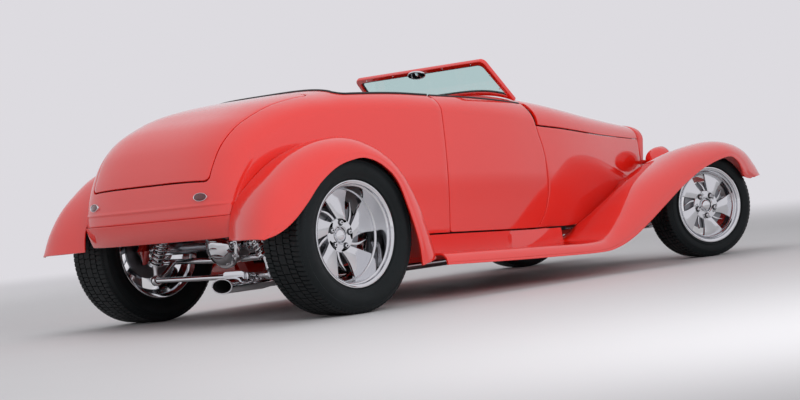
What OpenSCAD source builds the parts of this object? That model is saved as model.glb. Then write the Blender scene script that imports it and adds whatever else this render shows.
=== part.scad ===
// Street rod roadster: open two-seat hot rod, built from separate panels.
// +X nose, +Y left, +Z up, millimetres. X is drawn from the rear axle;
// `place()` then moves the whole car so its box is centred on X = 0.

/* [Wheelbase and stance] */
// Distance from the rear axle to the front axle
wheelbase = 2745; // [2300:5:3300]
// Rear tyre radius
rear_tyre_r = 356; // [340:1:366]
// Front tyre radius
front_tyre_r = 280; // [262:1:290]
// Rear tyre section width
rear_tyre_w = 272; // [240:1:290]
// Front tyre section width
front_tyre_w = 204; // [180:1:215]
// Distance of the rear wheels' centre plane from the car's middle
rear_track_y = 707; // [700:1:850]
// Distance of the front wheels' centre plane from the car's middle
front_track_y = 675; // [670:1:690]
// Distance of the kingpins from the car's middle
kingpin_y = 660; // [655:1:665]
// Angle at which the front wheels are parked, turned to the right
steer_rest = 17.7; // [0:0.1:25]

/* [Wheels] */
// Rear wheel radius at the outside of the lip
rear_rim_r = 240.5; // [200:0.5:260]
// Front wheel radius at the outside of the lip
front_rim_r = 203.5; // [180:0.5:215]
// Rear wheel width over the lips
rear_rim_w = 229; // [200:1:240]
// Front wheel width over the lips
front_rim_w = 190; // [170:1:195]
// Bore in each hub
hub_bore_r = 36; // [28:0.5:44]

/* [Body] */
// Thickness of the quarter panels and side wall
wall = 34; // [25:1:42]
// Thickness of the deck lid
deck_wall = 18; // [12:1:24]
// Thickness of the hood top
hood_wall = 14; // [10:1:18]
// Thickness of a whole door
door_wall = 58; // [45:1:70]
// Thickness of the hood sides
side_wall = 16; // [12:1:20]
// Thickness of the fenders
fender_wall = 9; // [6:1:12]
// Gap between panels
shut_gap = 5; // [3:0.5:8]
// Rear edge of the hood top
cowl_x = 1585; // [1575:1:1590]
// Front edge of the hood top
nose_x = 2745; // [2740:1:2750]

/* [Cabin] */
// Steering wheel rim: radius of its middle circle
steer_ring_r = 160; // [150:1:165]
// Steering wheel rim: thickness radius
steer_grip_r = 13; // [10:0.5:15]
// Windshield rake from vertical
ws_rake = 42; // [38:0.5:46]
// Width of the windshield frame
ws_rail = 26; // [20:1:32]
// Windshield glass thickness
ws_glass = 6; // [4:0.5:8]

/* [Hidden] */
$fn = 64;
paint = [0.80, 0.10, 0.09];
metal = [0.80, 0.81, 0.82];
rubber = [0.05, 0.05, 0.05];
trim_black = [0.10, 0.10, 0.11];
// clearance of a seated piece, and of one that moves past another body
seat_gap = 0.3;
move_gap = 1.1;
// the drawing stretches forward of here when the wheelbase changes
stretch_x = 505;
drawn_axle_x = 2745;

// ---------------------------------------------------------------- curves
// smooth curve through the rows of a table; column 0 is the position
function seg(x, t, i = 0) =
  (i >= len(t) - 2 || x < t[i + 1][0]) ? i : seg(x, t, i + 1);
function slope(t, i, c) =
  let(a = max(i - 1, 0), b = min(i + 1, len(t) - 1))
  (t[b][c] - t[a][c]) / (t[b][0] - t[a][0]);
function cr(x, t, c = 1) =
  let(i = seg(x, t), h = t[i + 1][0] - t[i][0],
      s = min(max((x - t[i][0]) / h, 0), 1), s2 = s * s, s3 = s2 * s)
  (2 * s3 - 3 * s2 + 1) * t[i][c] + (s3 - 2 * s2 + s) * h * slope(t, i, c)
  + (3 * s2 - 2 * s3) * t[i + 1][c] + (s3 - s2) * h * slope(t, i + 1, c);
function mix(a, b, s) = a + (b - a) * s;
// drawn x to the car's own x, the reverse, and the same for a list of [x, y]
function X(x) = x <= stretch_x ? x :
  stretch_x + (x - stretch_x) * (wheelbase - stretch_x) / (drawn_axle_x - stretch_x);
function drawn_x(x) = x <= stretch_x ? x :
  stretch_x + (x - stretch_x) * (drawn_axle_x - stretch_x) / (wheelbase - stretch_x);
function XP(points) = [for (p = points) [X(p[0]), p[1]]];
function X3(p) = [X(p[0]), p[1], p[2]];
function unit(v) = v / max(norm(v), 1e-9);
// cross-car crown: 1 on the centreline, 0 at the edges
function crown(f) = sqrt(max(0, 1 - pow(abs(f), 4)));

// ---------------------------------------------------------------- sheets
function cell_n(g, i, j) =
  cross(g[i + 1][j + 1] - g[i][j], g[i + 1][j] - g[i][j + 1]);
function vert_n(g, i, j) =
  let(ni = len(g) - 1, nj = len(g[0]) - 1,
      c = [for (a = [max(i - 1, 0) : min(i, ni - 1)],
                b = [max(j - 1, 0) : min(j, nj - 1)]) cell_n(g, a, b)],
      s = [for (k = c) unit(k)])
  unit([for (k = [0 : 2]) [for (q = s) q[k]] * [for (q = s) 1]]);
function stretched(rows) = [for (row = rows) [for (p = row) X3(p)]];
function flat(rows) = [for (row = rows, p = row) p];
// inner face of a sheet of thickness t whose outer face is g; s is its side
function inner_face(g, t, s) = [for (i = [0 : len(g) - 1])
  [for (j = [0 : len(g[0]) - 1]) g[i][j] - s * t * vert_n(g, i, j)]];
// closed sheet: the rows of drawn points form the outer face, `t` is the
// thickness laid to the inside; `hole` is [[i0, i1, j0, j1], ...] in cells
module sheet(rows, t, hole = [], flip = false) {
  g = stretched(rows);
  ni = len(g) - 1;
  nj = len(g[0]) - 1;
  n = (ni + 1) * (nj + 1);
  outer = flat(g);
  inner = flat(inner_face(g, t, flip ? -1 : 1));
  function id(i, j) = i * (nj + 1) + j;
  function open(i, j) = i < 0 || j < 0 || i >= ni || j >= nj ||
    len([for (h = hole) if (i >= h[0] && i < h[1] && j >= h[2] && j < h[3]) 1]) > 0;
  function q(a, b, c, d) = flip ? [[a, c, b], [a, d, c]] : [[a, b, c], [a, c, d]];
  f = [for (i = [0 : ni - 1], j = [0 : nj - 1]) if (!open(i, j))
    let(a = id(i, j), b = id(i, j + 1), c = id(i + 1, j + 1), d = id(i + 1, j))
    each concat(
      q(d, c, b, a),
      q(a + n, b + n, c + n, d + n),
      open(i - 1, j) ? q(a, b, b + n, a + n) : [],
      open(i + 1, j) ? q(c, d, d + n, c + n) : [],
      open(i, j - 1) ? q(d, a, a + n, d + n) : [],
      open(i, j + 1) ? q(b, c, c + n, b + n) : [])];
  polyhedron(points = concat(outer, inner), faces = f, convexity = 10);
}
module place() { translate([-(tail_x + tip_x) / 2, 0, 0]) children(); }
module both() { children(); mirror([0, 1, 0]) children(); }
module box(x0, x1, y0, y1, z0, z1) {
  translate([X(x0), y0, z0]) cube([X(x1) - X(x0), y1 - y0, z1 - z0]);
}
// rod between two drawn points
module rod(a, b, r) {
  d = X3(b) - X3(a);
  l = norm(d);
  translate(X3(a)) rotate([0, acos(d[2] / l), atan2(d[1], d[0])]) cylinder(r = r, h = l);
}

// ---------------------------------------------------------------- body
// quarter crease from the door back and down the tail:
// station, x, y, z, then the step from crease to centreline in x and z
CREASE = [
  [0, 835, 622, 879, 0, 140], [1, 600, 617, 896, 0, 142],
  [2, 330, 603, 909, 0, 136], [3, 190, 593, 913, 4, 124],
  [4, 60, 581, 912, 12, 112], [5, -70, 569, 886, 32, 112],
  [6, -160, 561, 847, 62, 112], [7, -240, 553, 797, 94, 110],
  [8, -310, 546, 737, 116, 90], [9, -365, 540, 672, 118, 58],
  [10, -405, 535, 612, 110, 28], [11, -428, 531, 556, 98, 8],
  [12, -440, 529, 500, 84, -4]];
// lower edge of the body side: x, z
SKIRT = [
  [-440, 475], [-405, 560], [-365, 605], [-300, 665], [-200, 715],
  [0, 745], [200, 720], [300, 665], [380, 570], [440, 420], [490, 325],
  [600, 314], [835, 303], [1600, 266], [2000, 262], [2300, 330],
  [2500, 420], [2800, 470]];
// belt from the door forward: x, half width, belt height, crown above it
BELT = [
  [835, 622, 879, 140], [1100, 616, 853, 150], [1350, 602, 821, 162],
  [1575, 576, 789, 170], [1800, 543, 765, 160], [2000, 500, 742, 148],
  [2200, 448, 720, 134], [2400, 390, 703, 118], [2600, 331, 688, 102],
  [2795, 272, 675, 88]];
// front edge of the door: z, x
DOOR_FRONT = [
  [262, 1470], [272, 1505], [290, 1545], [330, 1583], [370, 1606],
  [461, 1630], [520, 1633], [610, 1625], [700, 1608], [789, 1576],
  [905, 1545]];
FS = [-1, -0.998, -0.99, -0.975, -0.95, -0.915, -0.875];
F = concat(FS, [for (k = [-8 : 8]) k / 10 ], [for (k = [6 : -1 : 0]) -FS[k]]);

// y of the side at height z: full at the belt, tucked in below
function side_y(yb, zb, z, z0) =
  let(h = (zb - z) / max(zb - z0, 1)) yb + 30 * h * (1 - h) - 24 * h * h;
// outer half width of the tub at x and z, from the crease rows
CREASE_X = [for (i = [len(CREASE) - 1 : -1 : 0])
  [CREASE[i][1], CREASE[i][2], CREASE[i][3]]];
function tub_y(x, z) = side_y(cr(x, CREASE_X, 1), cr(x, CREASE_X, 2), z, 300);
function crease(s) = [for (c = [1 : 5]) cr(s, CREASE, c)];
function tub_row(s, n = 6) =
  let(c = crease(s), z0 = min(cr(c[0], SKIRT), c[2] - 24), y0 = 300)
  concat(
    [for (k = [0 : n - 1]) let(z = mix(z0, c[2], k / n))
      [c[0], -side_y(c[1], c[2], z, y0), z]],
    [for (f = F) [c[0] - c[3] * crown(f), f * c[1], c[2] + c[4] * crown(f)]],
    [for (k = [n - 1 : -1 : 0]) let(z = mix(z0, c[2], k / n))
      [c[0], side_y(c[1], c[2], z, y0), z]]);
function lid_rows(a, b, n, f1) =
  [for (i = [0 : n]) let(c = crease(mix(a, b, i / n)))
    [for (k = [-12 : 12]) let(f = f1 * k / 12)
      [c[0] - c[3] * crown(f), f * c[1], c[2] + c[4] * crown(f)]]];
TUB_S = [0, 0.5, 1, 1.5, 2, 2.4, 2.8, 3.1, 3.4, 3.8, 4.2, 4.6, 5, 5.4, 5.8,
         6.2, 6.6, 7, 7.4, 7.8, 8.2, 8.6, 9, 9.4, 9.8, 10.2, 10.6, 11, 11.5, 12];
module body_tub() color(paint) place() {
  rows = [for (s = TUB_S) tub_row(s)];
  // cockpit opening, then the deck-lid opening
  sheet(rows, wall, [[0, 4, 12, 30], [8, 24, 13, 29]]);
}
module deck_lid() color(paint) place()
  sheet(lid_rows(3.44, 9.7, 22, 0.79), deck_wall);

// underside of the deck lid on the centreline near its rear edge
latch_p = tail_pt(8, 0);
lid_n = unit(cross(tail_pt(8, 0.01) - latch_p, tail_pt(7.95, 0) - latch_p));
lid_in_z = latch_p[2] - deck_wall / abs(lid_n[2]) - 3.2;
function belt(x) = [for (c = [1 : 3]) cr(x, BELT, c)];
function front_row(x, f0) =
  let(b = belt(x)) [for (k = [-14 : 14]) let(f = f0 * sin(k * 90 / 14))
    [x, f * b[0], b[1] + b[2] * crown(f)]];
// side point: v 0 at the bottom, 1 at the belt, 2 at the cockpit rim
function side_pt(x, v, rim = 0.875) = let(b = belt(x), z0 = cr(x, SKIRT))
  v <= 1 ? let(z = mix(z0, b[1], v)) [x, -side_y(b[0], b[1], z, 300), z]
         : let(f = mix(1, rim, pow(v - 1, 1.6))) [x, -f * b[0], b[1] + b[2] * crown(f)];
DV = [0, 0.08, 0.17, 0.3, 0.45, 0.6, 0.75, 0.88, 1, 1.25, 1.5, 1.75, 2];
module door_r() color(paint) place() {
  n = 16;
  rows = [for (i = [0 : n]) [for (v = DV)
    let(z = side_pt(1300, v)[2], xf = cr(z, DOOR_FRONT) - shut_gap,
        x = mix(835 + shut_gap, xf, i / n)) side_pt(x, v)]];
  sheet(rows, door_wall, [], true);
}
module door_l() mirror([0, 1, 0]) door_r();

// fixed side from the door to the nose
module hood_side_r() color(paint) place() {
  n = 20;
  v1 = [0, 0.08, 0.17, 0.3, 0.45, 0.6, 0.75, 0.88, 0.985];
  rows = [for (i = [0 : n]) [for (v = v1)
    let(z = side_pt(1300, v)[2], xf = cr(z, DOOR_FRONT),
        x = mix(xf, nose_x, i / n)) side_pt(x, v)]];
  sheet(rows, side_wall, [], true);
}
module hood_side_l() mirror([0, 1, 0]) hood_side_r();
module hood_top() color(paint) place()
  sheet([for (i = [0 : 24]) front_row(mix(cowl_x, nose_x, i / 24), 1)], hood_wall, [], true);
module cowl() color(paint) place() {
  sheet([for (x = [1420, 1460, 1500, 1540, cowl_x - shut_gap]) front_row(x, 0.86)], 30, [], true);
  both() {
    box(1500, cowl_x - 8, 395, 440, 244, 914);
    box(1525, 1545, 440, side_in(1545, 610, door_wall + move_gap), 600, 620);
  }
}
function side_in(x, z, t) = let(b = belt(x)) side_y(b[0], b[1], z, 300) - t;
module firewall() color(paint) place() {
  translate([X(1660), 0, 0]) rotate([90, 0, 90]) linear_extrude(12) difference() {
    polygon(concat(
      [for (z = [280 : 60 : 760]) [side_in(1666, z, side_wall + 2), z]],
      [for (z = [760 : -60 : 280]) [-side_in(1666, z, side_wall + 2), z]], [[-480, 232], [480, 232]]));
    translate([-125, 0]) square([250, 420]);
  }
  box(1655, 1675, -20, 20, 750, cowl_z(1675, 0) - hood_wall - 2 * seat_gap);
}
module floor() color(trim_black) place() {
  difference() {
    union() {
      box(940, 1660, -500, 500, 232, 244);
      box(940, 1660, -130, 130, 232, 420);
      box(940, 952, -500, 500, 232, 384);
    }
    box(930, 1670, -118, 118, 200, 408);
  }
  box(408, 952, -500, 500, 372, 384);
  both() box(420, 952, 488, 500, 232, 384);
  box(408, 420, -500, 500, 372, 900);
  box(-330, 420, -500, 500, 548, 560);
  box(-425, -330, -485, 485, 548, 560);
  both() {
    box(-220, 300, 500, 512, 548, 764);
    translate([0, 0, 752]) linear_extrude(12) polygon(concat(
      [for (x = [-200 : 50 : 250]) [x, tub_y(x, 752) - wall - 1.5]], [[250, 505], [-200, 505]]));
  }
  box(latch_p[0], latch_p[0] + 12, -15, 15, 548, lid_in_z);
}
// valance below the tail, a little in from the tail's edge and leaning forward
module roll_pan() color(paint) place() {
  c = crease(12);
  sheet([for (k = [0 : 5]) let(down = k / 5) [for (j = [-12 : 12]) let(w = j / 12 * 0.97)
    [c[0] - (c[3] - 26 * down * down) * crown(w) + 20 * down, w * c[1], 495.5 - 94 * down]]],
    10, [], true);
}

// ---------------------------------------------------------------- fenders
// rows of lip, crown and inner points, each x, y, z
REAR_FENDER = [
  [357, 868, 178, 497, 808, 205, 500, 612, 205],
  [345, 870, 290, 462, 802, 335, 470, 610, 345],
  [300, 872, 440, 412, 796, 470, 425, 612, 480],
  [243, 873, 574, 345, 785, 592, 365, 612, 600],
  [157, 873, 652, 262, 770, 690, 285, 610, 690],
  [60, 873, 688, 150, 748, 760, 170, 606, 745],
  [-30, 873, 683, 30, 733, 795, 40, 602, 775],
  [-126, 873, 656, -110, 724, 786, -105, 594, 762],
  [-226, 871, 595, -240, 717, 742, -235, 584, 715],
  [-313, 867, 512, -350, 713, 673, -345, 572, 640],
  [-397, 860, 442, -440, 716, 595, -430, 534, 560],
  [-470, 842, 398, -510, 719, 495, -478, 533, 475],
  [-530, 812, 377, -555, 722, 385, -492, 532, 385]];
FRONT_FENDER = [
  [505, 876, 165, 505, 838, 212, 505, 560, 215],
  [800, 876, 150, 800, 838, 199, 800, 560, 203],
  [1200, 876, 132, 1200, 838, 180, 1200, 560, 184],
  [1600, 877, 118, 1600, 834, 163, 1600, 560, 166],
  [1745, 879, 130, 1735, 818, 188, 1700, 556, 184],
  [1880, 882, 172, 1860, 798, 262, 1815, 548, 210],
  [2020, 884, 240, 1985, 772, 350, 1930, 532, 256],
  [2165, 885, 318, 2120, 748, 432, 2080, 500, 304],
  [2325, 886, 402, 2300, 730, 505, 2260, 452, 366],
  [2525, 886, 484, 2530, 722, 577, 2500, 390, 456],
  [2735, 885, 528, 2740, 718, 610, 2700, 340, 400],
  [2825, 880, 505, 2890, 714, 605, 2850, 330, 385],
  [2872, 874, 455, 3030, 712, 562, 2960, 340, 385],
  [2900, 866, 414, 3118, 722, 486, 3050, 380, 396],
  [2975, 850, 404, 3160, 750, 408, 3110, 430, 400]];
function stations(t, k, n) = let(m = [for (i = [0 : len(t) - 1]) concat([i], t[i])],
    s = k * (len(t) - 1) / n) [for (c = [1 : 9]) cr(s, m, c)];
// inner edge laid against the body behind it
function inner_y(p) = p[6] < 503 && p[6] > -425 ? tub_y(p[6], p[8]) + 1.2 :
  p[6] > 1650 && p[6] < nose_x ? side_in(p[6], p[8], -7.2) : p[7];
function arch_row(p, na = 7, nb = 6) = concat(
  [for (k = [na : -1 : 1]) let(a = 90 * k / na)
    [mix(p[3], p[0], 1 - cos(a)), mix(p[4], p[1], sin(a)), mix(p[5], p[2], 1 - cos(a))]],
  [for (k = [0 : nb]) let(a = 90 * k / nb)
    [mix(p[3], p[6], 1 - cos(a)), mix(p[4], inner_y(p), k / nb), mix(p[5], p[8], 1 - cos(a))]]);
function fender_rows(t, n) = [for (k = [0 : n]) arch_row(stations(t, k, n))];
// ends of the whole car, from the fenders' own outlines
tail_x = min([for (p = flat(fender_rows(REAR_FENDER, 36))) p[0]]);
tip_x = max([for (p = flat(inner_face(stretched(fender_rows(FRONT_FENDER, 42)),
  fender_wall, -1))) p[0]]);
module fender(t, n) sheet(fender_rows(t, n), fender_wall, [], true);
module rear_fender_l() color(paint) place() fender(REAR_FENDER, 36);
module rear_fender_r() mirror([0, 1, 0]) rear_fender_l();
module front_fender_l() color(paint) place() fender(FRONT_FENDER, 42);
module front_fender_r() mirror([0, 1, 0]) front_fender_l();

// ---------------------------------------------------------------- cabin
// windshield plane: foot, rake from vertical, and its local outline
ws_foot = [1547, 0, 909];
function cowl_z(x, y) = let(b = belt(x)) b[1] + b[2] * crown(y / b[0]);
// height along the plane at which it meets the cowl, found in a few steps
function ws_v(y, v = 60, n = 8) = n == 0 ? v :
  ws_v(y, (cowl_z(drawn_x(X(ws_foot[0]) - v * sin(ws_rake)), y) - ws_foot[2]) / cos(ws_rake),
    n - 1);
module ws_plane() translate(X3(ws_foot)) rotate([0, -ws_rake, 0])
  rotate([90, 0, 90]) children();
function ws_outline(g) = concat(
  [for (y = [-488 + g : (488 - g) / 12 : 488 - g]) [y, ws_v(y) + 16 + g]],
  [for (a = [0 : 15 : 90]) [440 - g + 30 * cos(a), 282 - g + 30 * sin(a)]],
  [for (a = [90 : 15 : 180]) [-440 + g + 30 * cos(a), 282 - g + 30 * sin(a)]]);
module windshield_frame() color(paint) place() ws_plane() translate([0, 0, -12])
  linear_extrude(24) difference() {
    polygon(ws_outline(0));
    polygon(ws_outline(ws_rail));
  }
module windshield_glass() color([0.45, 0.70, 0.66, 0.4]) place() ws_plane()
  translate([0, 0, -ws_glass / 2]) linear_extrude(ws_glass) polygon(ws_outline(ws_rail));
module mirror_oval(a, b) polygon([for (t = [0 : 12 : 348]) [a * cos(t), b * sin(t)]]);
module rear_view_mirror() color(metal) place() ws_plane()
  translate([0, 296, -30.4]) linear_extrude(18) mirror_oval(62, 27);
module dashboard() color(paint) place() box(1430, 1500, -440, 440, 735, 875);

// steering wheel centre, and the column's tilt
steer_c = [1180, 318, 800];
steer_tilt = 63.45;
module on_column() translate(X3(steer_c)) rotate([0, -steer_tilt, 0]) children();
module steering_wheel() color(trim_black) place() on_column() difference() {
  union() {
    rotate_extrude() translate([steer_ring_r, 0]) circle(steer_grip_r);
    for (a = [90, 210, 330]) rotate([0, 0, a]) translate([0, -12, -5]) cube([steer_ring_r - 6, 24, 10]);
    translate([0, 0, -30]) cylinder(r = 32, h = 45);
  }
  translate([0, 0, -31]) cylinder(r = 12, h = 35);
}
module steering_column() color(metal) place() {
  on_column() translate([0, 0, -40]) cylinder(r = 11.95, h = 42);
  on_column() translate([0, 0, -510]) cylinder(r = 22, h = 478);
  translate([X(1615), steer_c[1], 575]) rotate([0, 90, 0]) cylinder(r = 38, h = X(1660) - X(1615));
  box(1440, 1460, steer_c[1] - 10, steer_c[1] + 10, 670, 735);
}
module seat_cushion() color(trim_black) place()
  translate([0, 490, 0]) rotate([90, 0, 0]) linear_extrude(980)
  polygon(XP([[430, 384.3], [920, 384.3], [940, 420], [925, 480], [880, 500], [580, 480], [430, 470]]));
module seat_back() color(trim_black) place()
  translate([0, 490, 0]) rotate([90, 0, 0]) linear_extrude(980)
  polygon(XP([[420.3, 560], [420.3, 920], [440, 960], [480, 960], [505, 930], [575, 520],
    [560, 485.5], [430, 485.5]]));

// ---------------------------------------------------------------- nose and lights
module grille_shell() color(paint) place() {
  difference() {
    nose_body(nose_x + 10, nose_x + 65, 0);
    nose_body(nose_x + 9, nose_x + 66, 26);
  }
  for (y = [-200 : 25 : 200]) box(nose_x + 33, nose_x + 41, y - 4, y + 4, 300, cowl_nose_z(y) - 15);
}
function cowl_nose_z(y) = let(b = belt(nose_x)) b[1] + b[2] * crown(y / b[0]);
module nose_body(x0, x1, g) translate([X(x0), 0, 0]) rotate([90, 0, 90])
  linear_extrude(X(x1) - X(x0)) polygon(concat(
    [for (k = [-12 : 12]) let(f = sin(k * 7.5), b = belt(nose_x))
      [-f * (b[0] - g), b[1] + (b[2] - g) * crown(f)]],
    [for (s = [-1, 1]) [s * (245 - g), 292 + g]]));
lamp = [2815, 376, 555];
// the stalk that carries it
lamp_arm_x = 2795;
module headlights() color(paint) place() both() {
  translate(X3(lamp)) rotate([0, 90, 0]) rotate_extrude()
    polygon([[0, -95], [22, -90], [42, -74], [58, -48], [66, -18], [68, 0], [68, 22], [60, 26], [0, 34]]);
  rod([lamp_arm_x, 330, 548], [lamp_arm_x, 274.6, 545], 13);
}
function tail_pt(s, f) = let(c = crease(s))
  [c[0] - c[3] * crown(f), f * c[1], c[2] + c[4] * crown(f)];
// station of the lamps down the tail
lamp_s = 10.65;
module tail_lights() color([0.45, 0.02, 0.03]) place() both() {
  p = tail_pt(lamp_s, 0.735);
  n = unit(cross(tail_pt(lamp_s, 0.745) - p, tail_pt(lamp_s - 0.1, 0.735) - p));
  h = norm([n[0], n[1]]);
  translate(p - 0.5 * n) multmatrix([[-n[0], -n[1] / h, -n[2], 0], [-n[1], n[0] / h, 0, 0],
    [-n[2], 0, n[0], 0]])
    rotate([90, 0, 90]) linear_extrude(12) mirror_oval(40, 19);
}

// ---------------------------------------------------------------- chassis
module rail_side() rotate([90, 0, 0]) linear_extrude(60)
  polygon(XP([[-430, 488], [250, 488], [400, 172], [1650, 172], [1650, 232],
              [430, 232], [280, 548], [-430, 548]]));
module frame() color(paint) place() {
  both() {
    translate([0, 445, 0]) rail_side();
    translate([0, 0, 172]) linear_extrude(60)
      polygon(XP([[1650, 385], [2350, 270], [2400, 268], [2400, 328], [2350, 330], [1650, 445]]));
    translate([0, 0, 232]) linear_extrude(60)
      polygon(XP([[2300, 278], [2400, 268], [2840, 245], [2840, 305], [2400, 328], [2300, 338]]));
    box(505, 1590, 500, 559.6, 196, 262);
    box(800, 850, 445, 500, 196, 232);
    box(1450, 1500, 445, 500, 196, 232);
  }
  box(-430, -380, -386, 386, 488, 548);
  box(-200, -140, -386, 386, 488, 548);
  box(-40, 40, -386, 386, 488, 548);
  box(2720, 2770, -252, 252, 232, 292);
  box(1150, 1200, -386, 386, 176, 196);
}
module engine() color(metal) place() {
  box(1720, 2380, -230, 230, 215, 690);
  translate([X(1010), 0, 300]) rotate([0, 90, 0]) cylinder(r = 95, h = X(1722) - X(1010));
  box(1150, 1200, -60, 60, 196, 240);
  both() box(1900, 1960, 228, 385, 232, 262);
}
module exhaust() color(metal) place() {
  both() {
    translate([X(1900), 200, 148]) cylinder(r = 24, h = 67);
    translate([X(600), 200, 148]) rotate([0, 90, 0]) cylinder(r = 24, h = X(1900) - X(600));
  }
  for (p = [[1900, 200, 148], [1900, -200, 148], [600, 200, 148], [600, -200, 148]])
    translate(X3(p)) sphere(24.5);
  translate([X(600), 200, 148]) rotate([90, 0, 0]) cylinder(r = 23.5, h = 400);
  rod([600, -200, 148], [-60, -280, 172], 23);
  translate([-350, -280, 177]) rotate([90, 0, 90]) linear_extrude(300) mirror_oval(72, 36);
}
module rear_axle() color(metal) place() {
  translate([0, 110, rear_tyre_r]) rotate([90, 0, 0]) cylinder(r = 115, h = 220);
  translate([-150, 0, rear_tyre_r]) rotate([0, 90, 0]) cylinder(r = 85, h = 260);
  rod([1007, 0, 301], [90, 0, 350], 38);
  box(-36, 36, -70, 70, 440, 488);
  both() {
    translate([0, rear_track_y - 107, rear_tyre_r]) rotate([90, 0, 0])
      cylinder(r = 32, h = rear_track_y - 212);
    translate([0, rear_track_y - 67, rear_tyre_r]) rotate([90, 0, 0]) cylinder(r = 80, h = 55);
    translate([0, rear_track_y - 6, rear_tyre_r]) rotate([90, 0, 0])
      cylinder(r = hub_bore_r - 0.05, h = 100);
    rod([-50, 90, 285], [-50, rear_track_y - 107, 295], 16);
    rod([-50, 425, 288], [-175, 412, 196], 14);
    translate([-175, 412, 206]) cylinder(r = 26, h = 20);
  }
}
module rear_suspension() color(metal) place() both() {
  rod([-175, 404, 292], [-175, 306, 446], 37);
  translate([-175, 412, 226.4]) cylinder(r = 14, h = 72);
  translate([-175, 300, 440]) cylinder(r = 14, h = 47.6);
}
module front_axle() color(metal) place() {
  rod([drawn_axle_x, -560, 205], [drawn_axle_x, 560, 205], 22);
  box(2725, 2765, -50, 50, 215, 232);
  both() {
    translate([wheelbase, 560, 205]) sphere(22);
    difference() {
      union() {
        rod([drawn_axle_x, 560, 205], [drawn_axle_x, kingpin_y - 26, 276], 17);
        translate([wheelbase, kingpin_y, 250]) cylinder(r = 24, h = 60);
      }
      translate([wheelbase, kingpin_y, 240]) cylinder(r = 10, h = 80);
    }
  }
}
// left knuckle and brake; the wheel turns on its stub
module steered() translate([wheelbase, kingpin_y, front_tyre_r]) rotate([0, 0, -steer_rest])
  translate([0, front_track_y - kingpin_y, 0]) children();
module steered_r() mirror([0, 1, 0]) translate([wheelbase, kingpin_y, front_tyre_r])
  rotate([0, 0, steer_rest]) translate([0, front_track_y - kingpin_y, 0]) children();
// knuckle in the kingpin's own frame, outboard +Y
module knuckle() color(metal) translate([0, kingpin_y - front_track_y, 0]) {
  translate([0, 0, -46]) cylinder(r = 9.95, h = 92);
  for (z = [-46, 32]) translate([-24, -22, z]) cube([48, 58, 14]);
  translate([-38, 27, -46]) cube([76, 9, 92]);
  translate([0, 59, 0]) rotate([90, 0, 0]) cylinder(r = hub_bore_r - 0.05, h = 24);
}
module knuckle_l() place() steered() knuckle();
module knuckle_r() place() steered_r() knuckle();

// ---------------------------------------------------------------- wheels
// section of the rim barrel: lip radius r, half width w
module barrel(r, w) rotate_extrude() polygon([
  [r, w], [r, w - 6], [r - 12, w - 11], [r - 12, w * 0.55], [r - 36, w * 0.3],
  [r - 36, -w * 0.6], [r - 12, -w * 0.75], [r - 12, -w + 11], [r, -w + 6], [r, -w],
  [r - 6, -w], [r - 20, -w + 12], [r - 20, -w * 0.72], [r - 44, -w * 0.5],
  [r - 44, w * 0.32], [r - 20, w * 0.6], [r - 20, w - 12], [r - 6, w]]);
// r and w of the rim, face of the spokes, inner end of the hub, brake disc,
// and how far out the spokes run
module wheel(r, w, face, hub_in, disc_r, spoke_r) color(metal) rotate([-90, 0, 0])
difference() {
  union() {
    barrel(r, w / 2);
    translate([0, 0, face - 16]) for (a = [0 : 72 : 288]) rotate([0, 0, a])
      linear_extrude(16) polygon([[38, -26], [spoke_r, -44], [spoke_r, 30], [52, 34]]);
    translate([0, 0, hub_in]) cylinder(r = 66, h = face - hub_in - 2);
    translate([0, 0, face - 10]) cylinder(r = 45, h = 23);
    translate([0, 0, hub_in]) cylinder(r = disc_r, h = 12);
  }
  translate([0, 0, hub_in - 1]) cylinder(r = hub_bore_r, h = face - hub_in - 10);
}
// tyre radius and width, then the rim's lip radius and width it sits on
module tyre(r, w, rim, rw) color(rubber) rotate([-90, 0, 0]) rotate_extrude() {
  b = rw / 2;
  polygon(concat(
    [[rim - 12, b - 12], [rim + 2, b - 7], [(r + rim) / 2, w / 2], [r - 22, w * 0.47],
     [r - 6, w * 0.42], [r, w * 0.34]],
    [[r, -w * 0.34], [r - 6, -w * 0.42], [r - 22, -w * 0.47], [(r + rim) / 2, -w / 2],
     [rim + 2, 7 - b], [rim - 12, 12 - b]],
    [[rim - 12, 22 - b], [rim + 8, 20 - b], [r - 26, -w * 0.4], [r - 14, -w * 0.3],
     [r - 14, w * 0.3], [r - 26, w * 0.4], [rim + 8, b - 20], [rim - 12, b - 22]]));
}
module rear_at() translate([0, rear_track_y, rear_tyre_r]) children();
module wheel_rl() place() rear_at() wheel(rear_rim_r, rear_rim_w, 14, -32, 140, rear_rim_r - 38);
module wheel_rr() mirror([0, 1, 0]) wheel_rl();
module wheel_fl() place() steered() wheel(front_rim_r, front_rim_w, 57, 24, 125, front_rim_r - 31);
module wheel_fr() place() steered_r() wheel(front_rim_r, front_rim_w, 57, 24, 125, front_rim_r - 31);
module tyre_rl() place() rear_at() tyre(rear_tyre_r, rear_tyre_w, rear_rim_r, rear_rim_w);
module tyre_rr() mirror([0, 1, 0]) tyre_rl();
module tyre_fl() place() steered() tyre(front_tyre_r, front_tyre_w, front_rim_r, front_rim_w);
module tyre_fr() place() steered_r() tyre(front_tyre_r, front_tyre_w, front_rim_r, front_rim_w);

body_tub();
cowl();
door_l();
door_r();
deck_lid();
hood_top();
hood_side_l();
hood_side_r();
grille_shell();
firewall();
floor();
dashboard();
steering_wheel();
steering_column();
seat_cushion();
seat_back();
front_fender_l();
front_fender_r();
rear_fender_l();
rear_fender_r();
roll_pan();
tail_lights();
frame();
windshield_frame();
windshield_glass();
rear_view_mirror();
headlights();
engine();
exhaust();
rear_axle();
rear_suspension();
front_axle();
knuckle_l();
knuckle_r();
wheel_fl();
wheel_fr();
wheel_rl();
wheel_rr();
tyre_fl();
tyre_fr();
tyre_rl();
tyre_rr();
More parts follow.
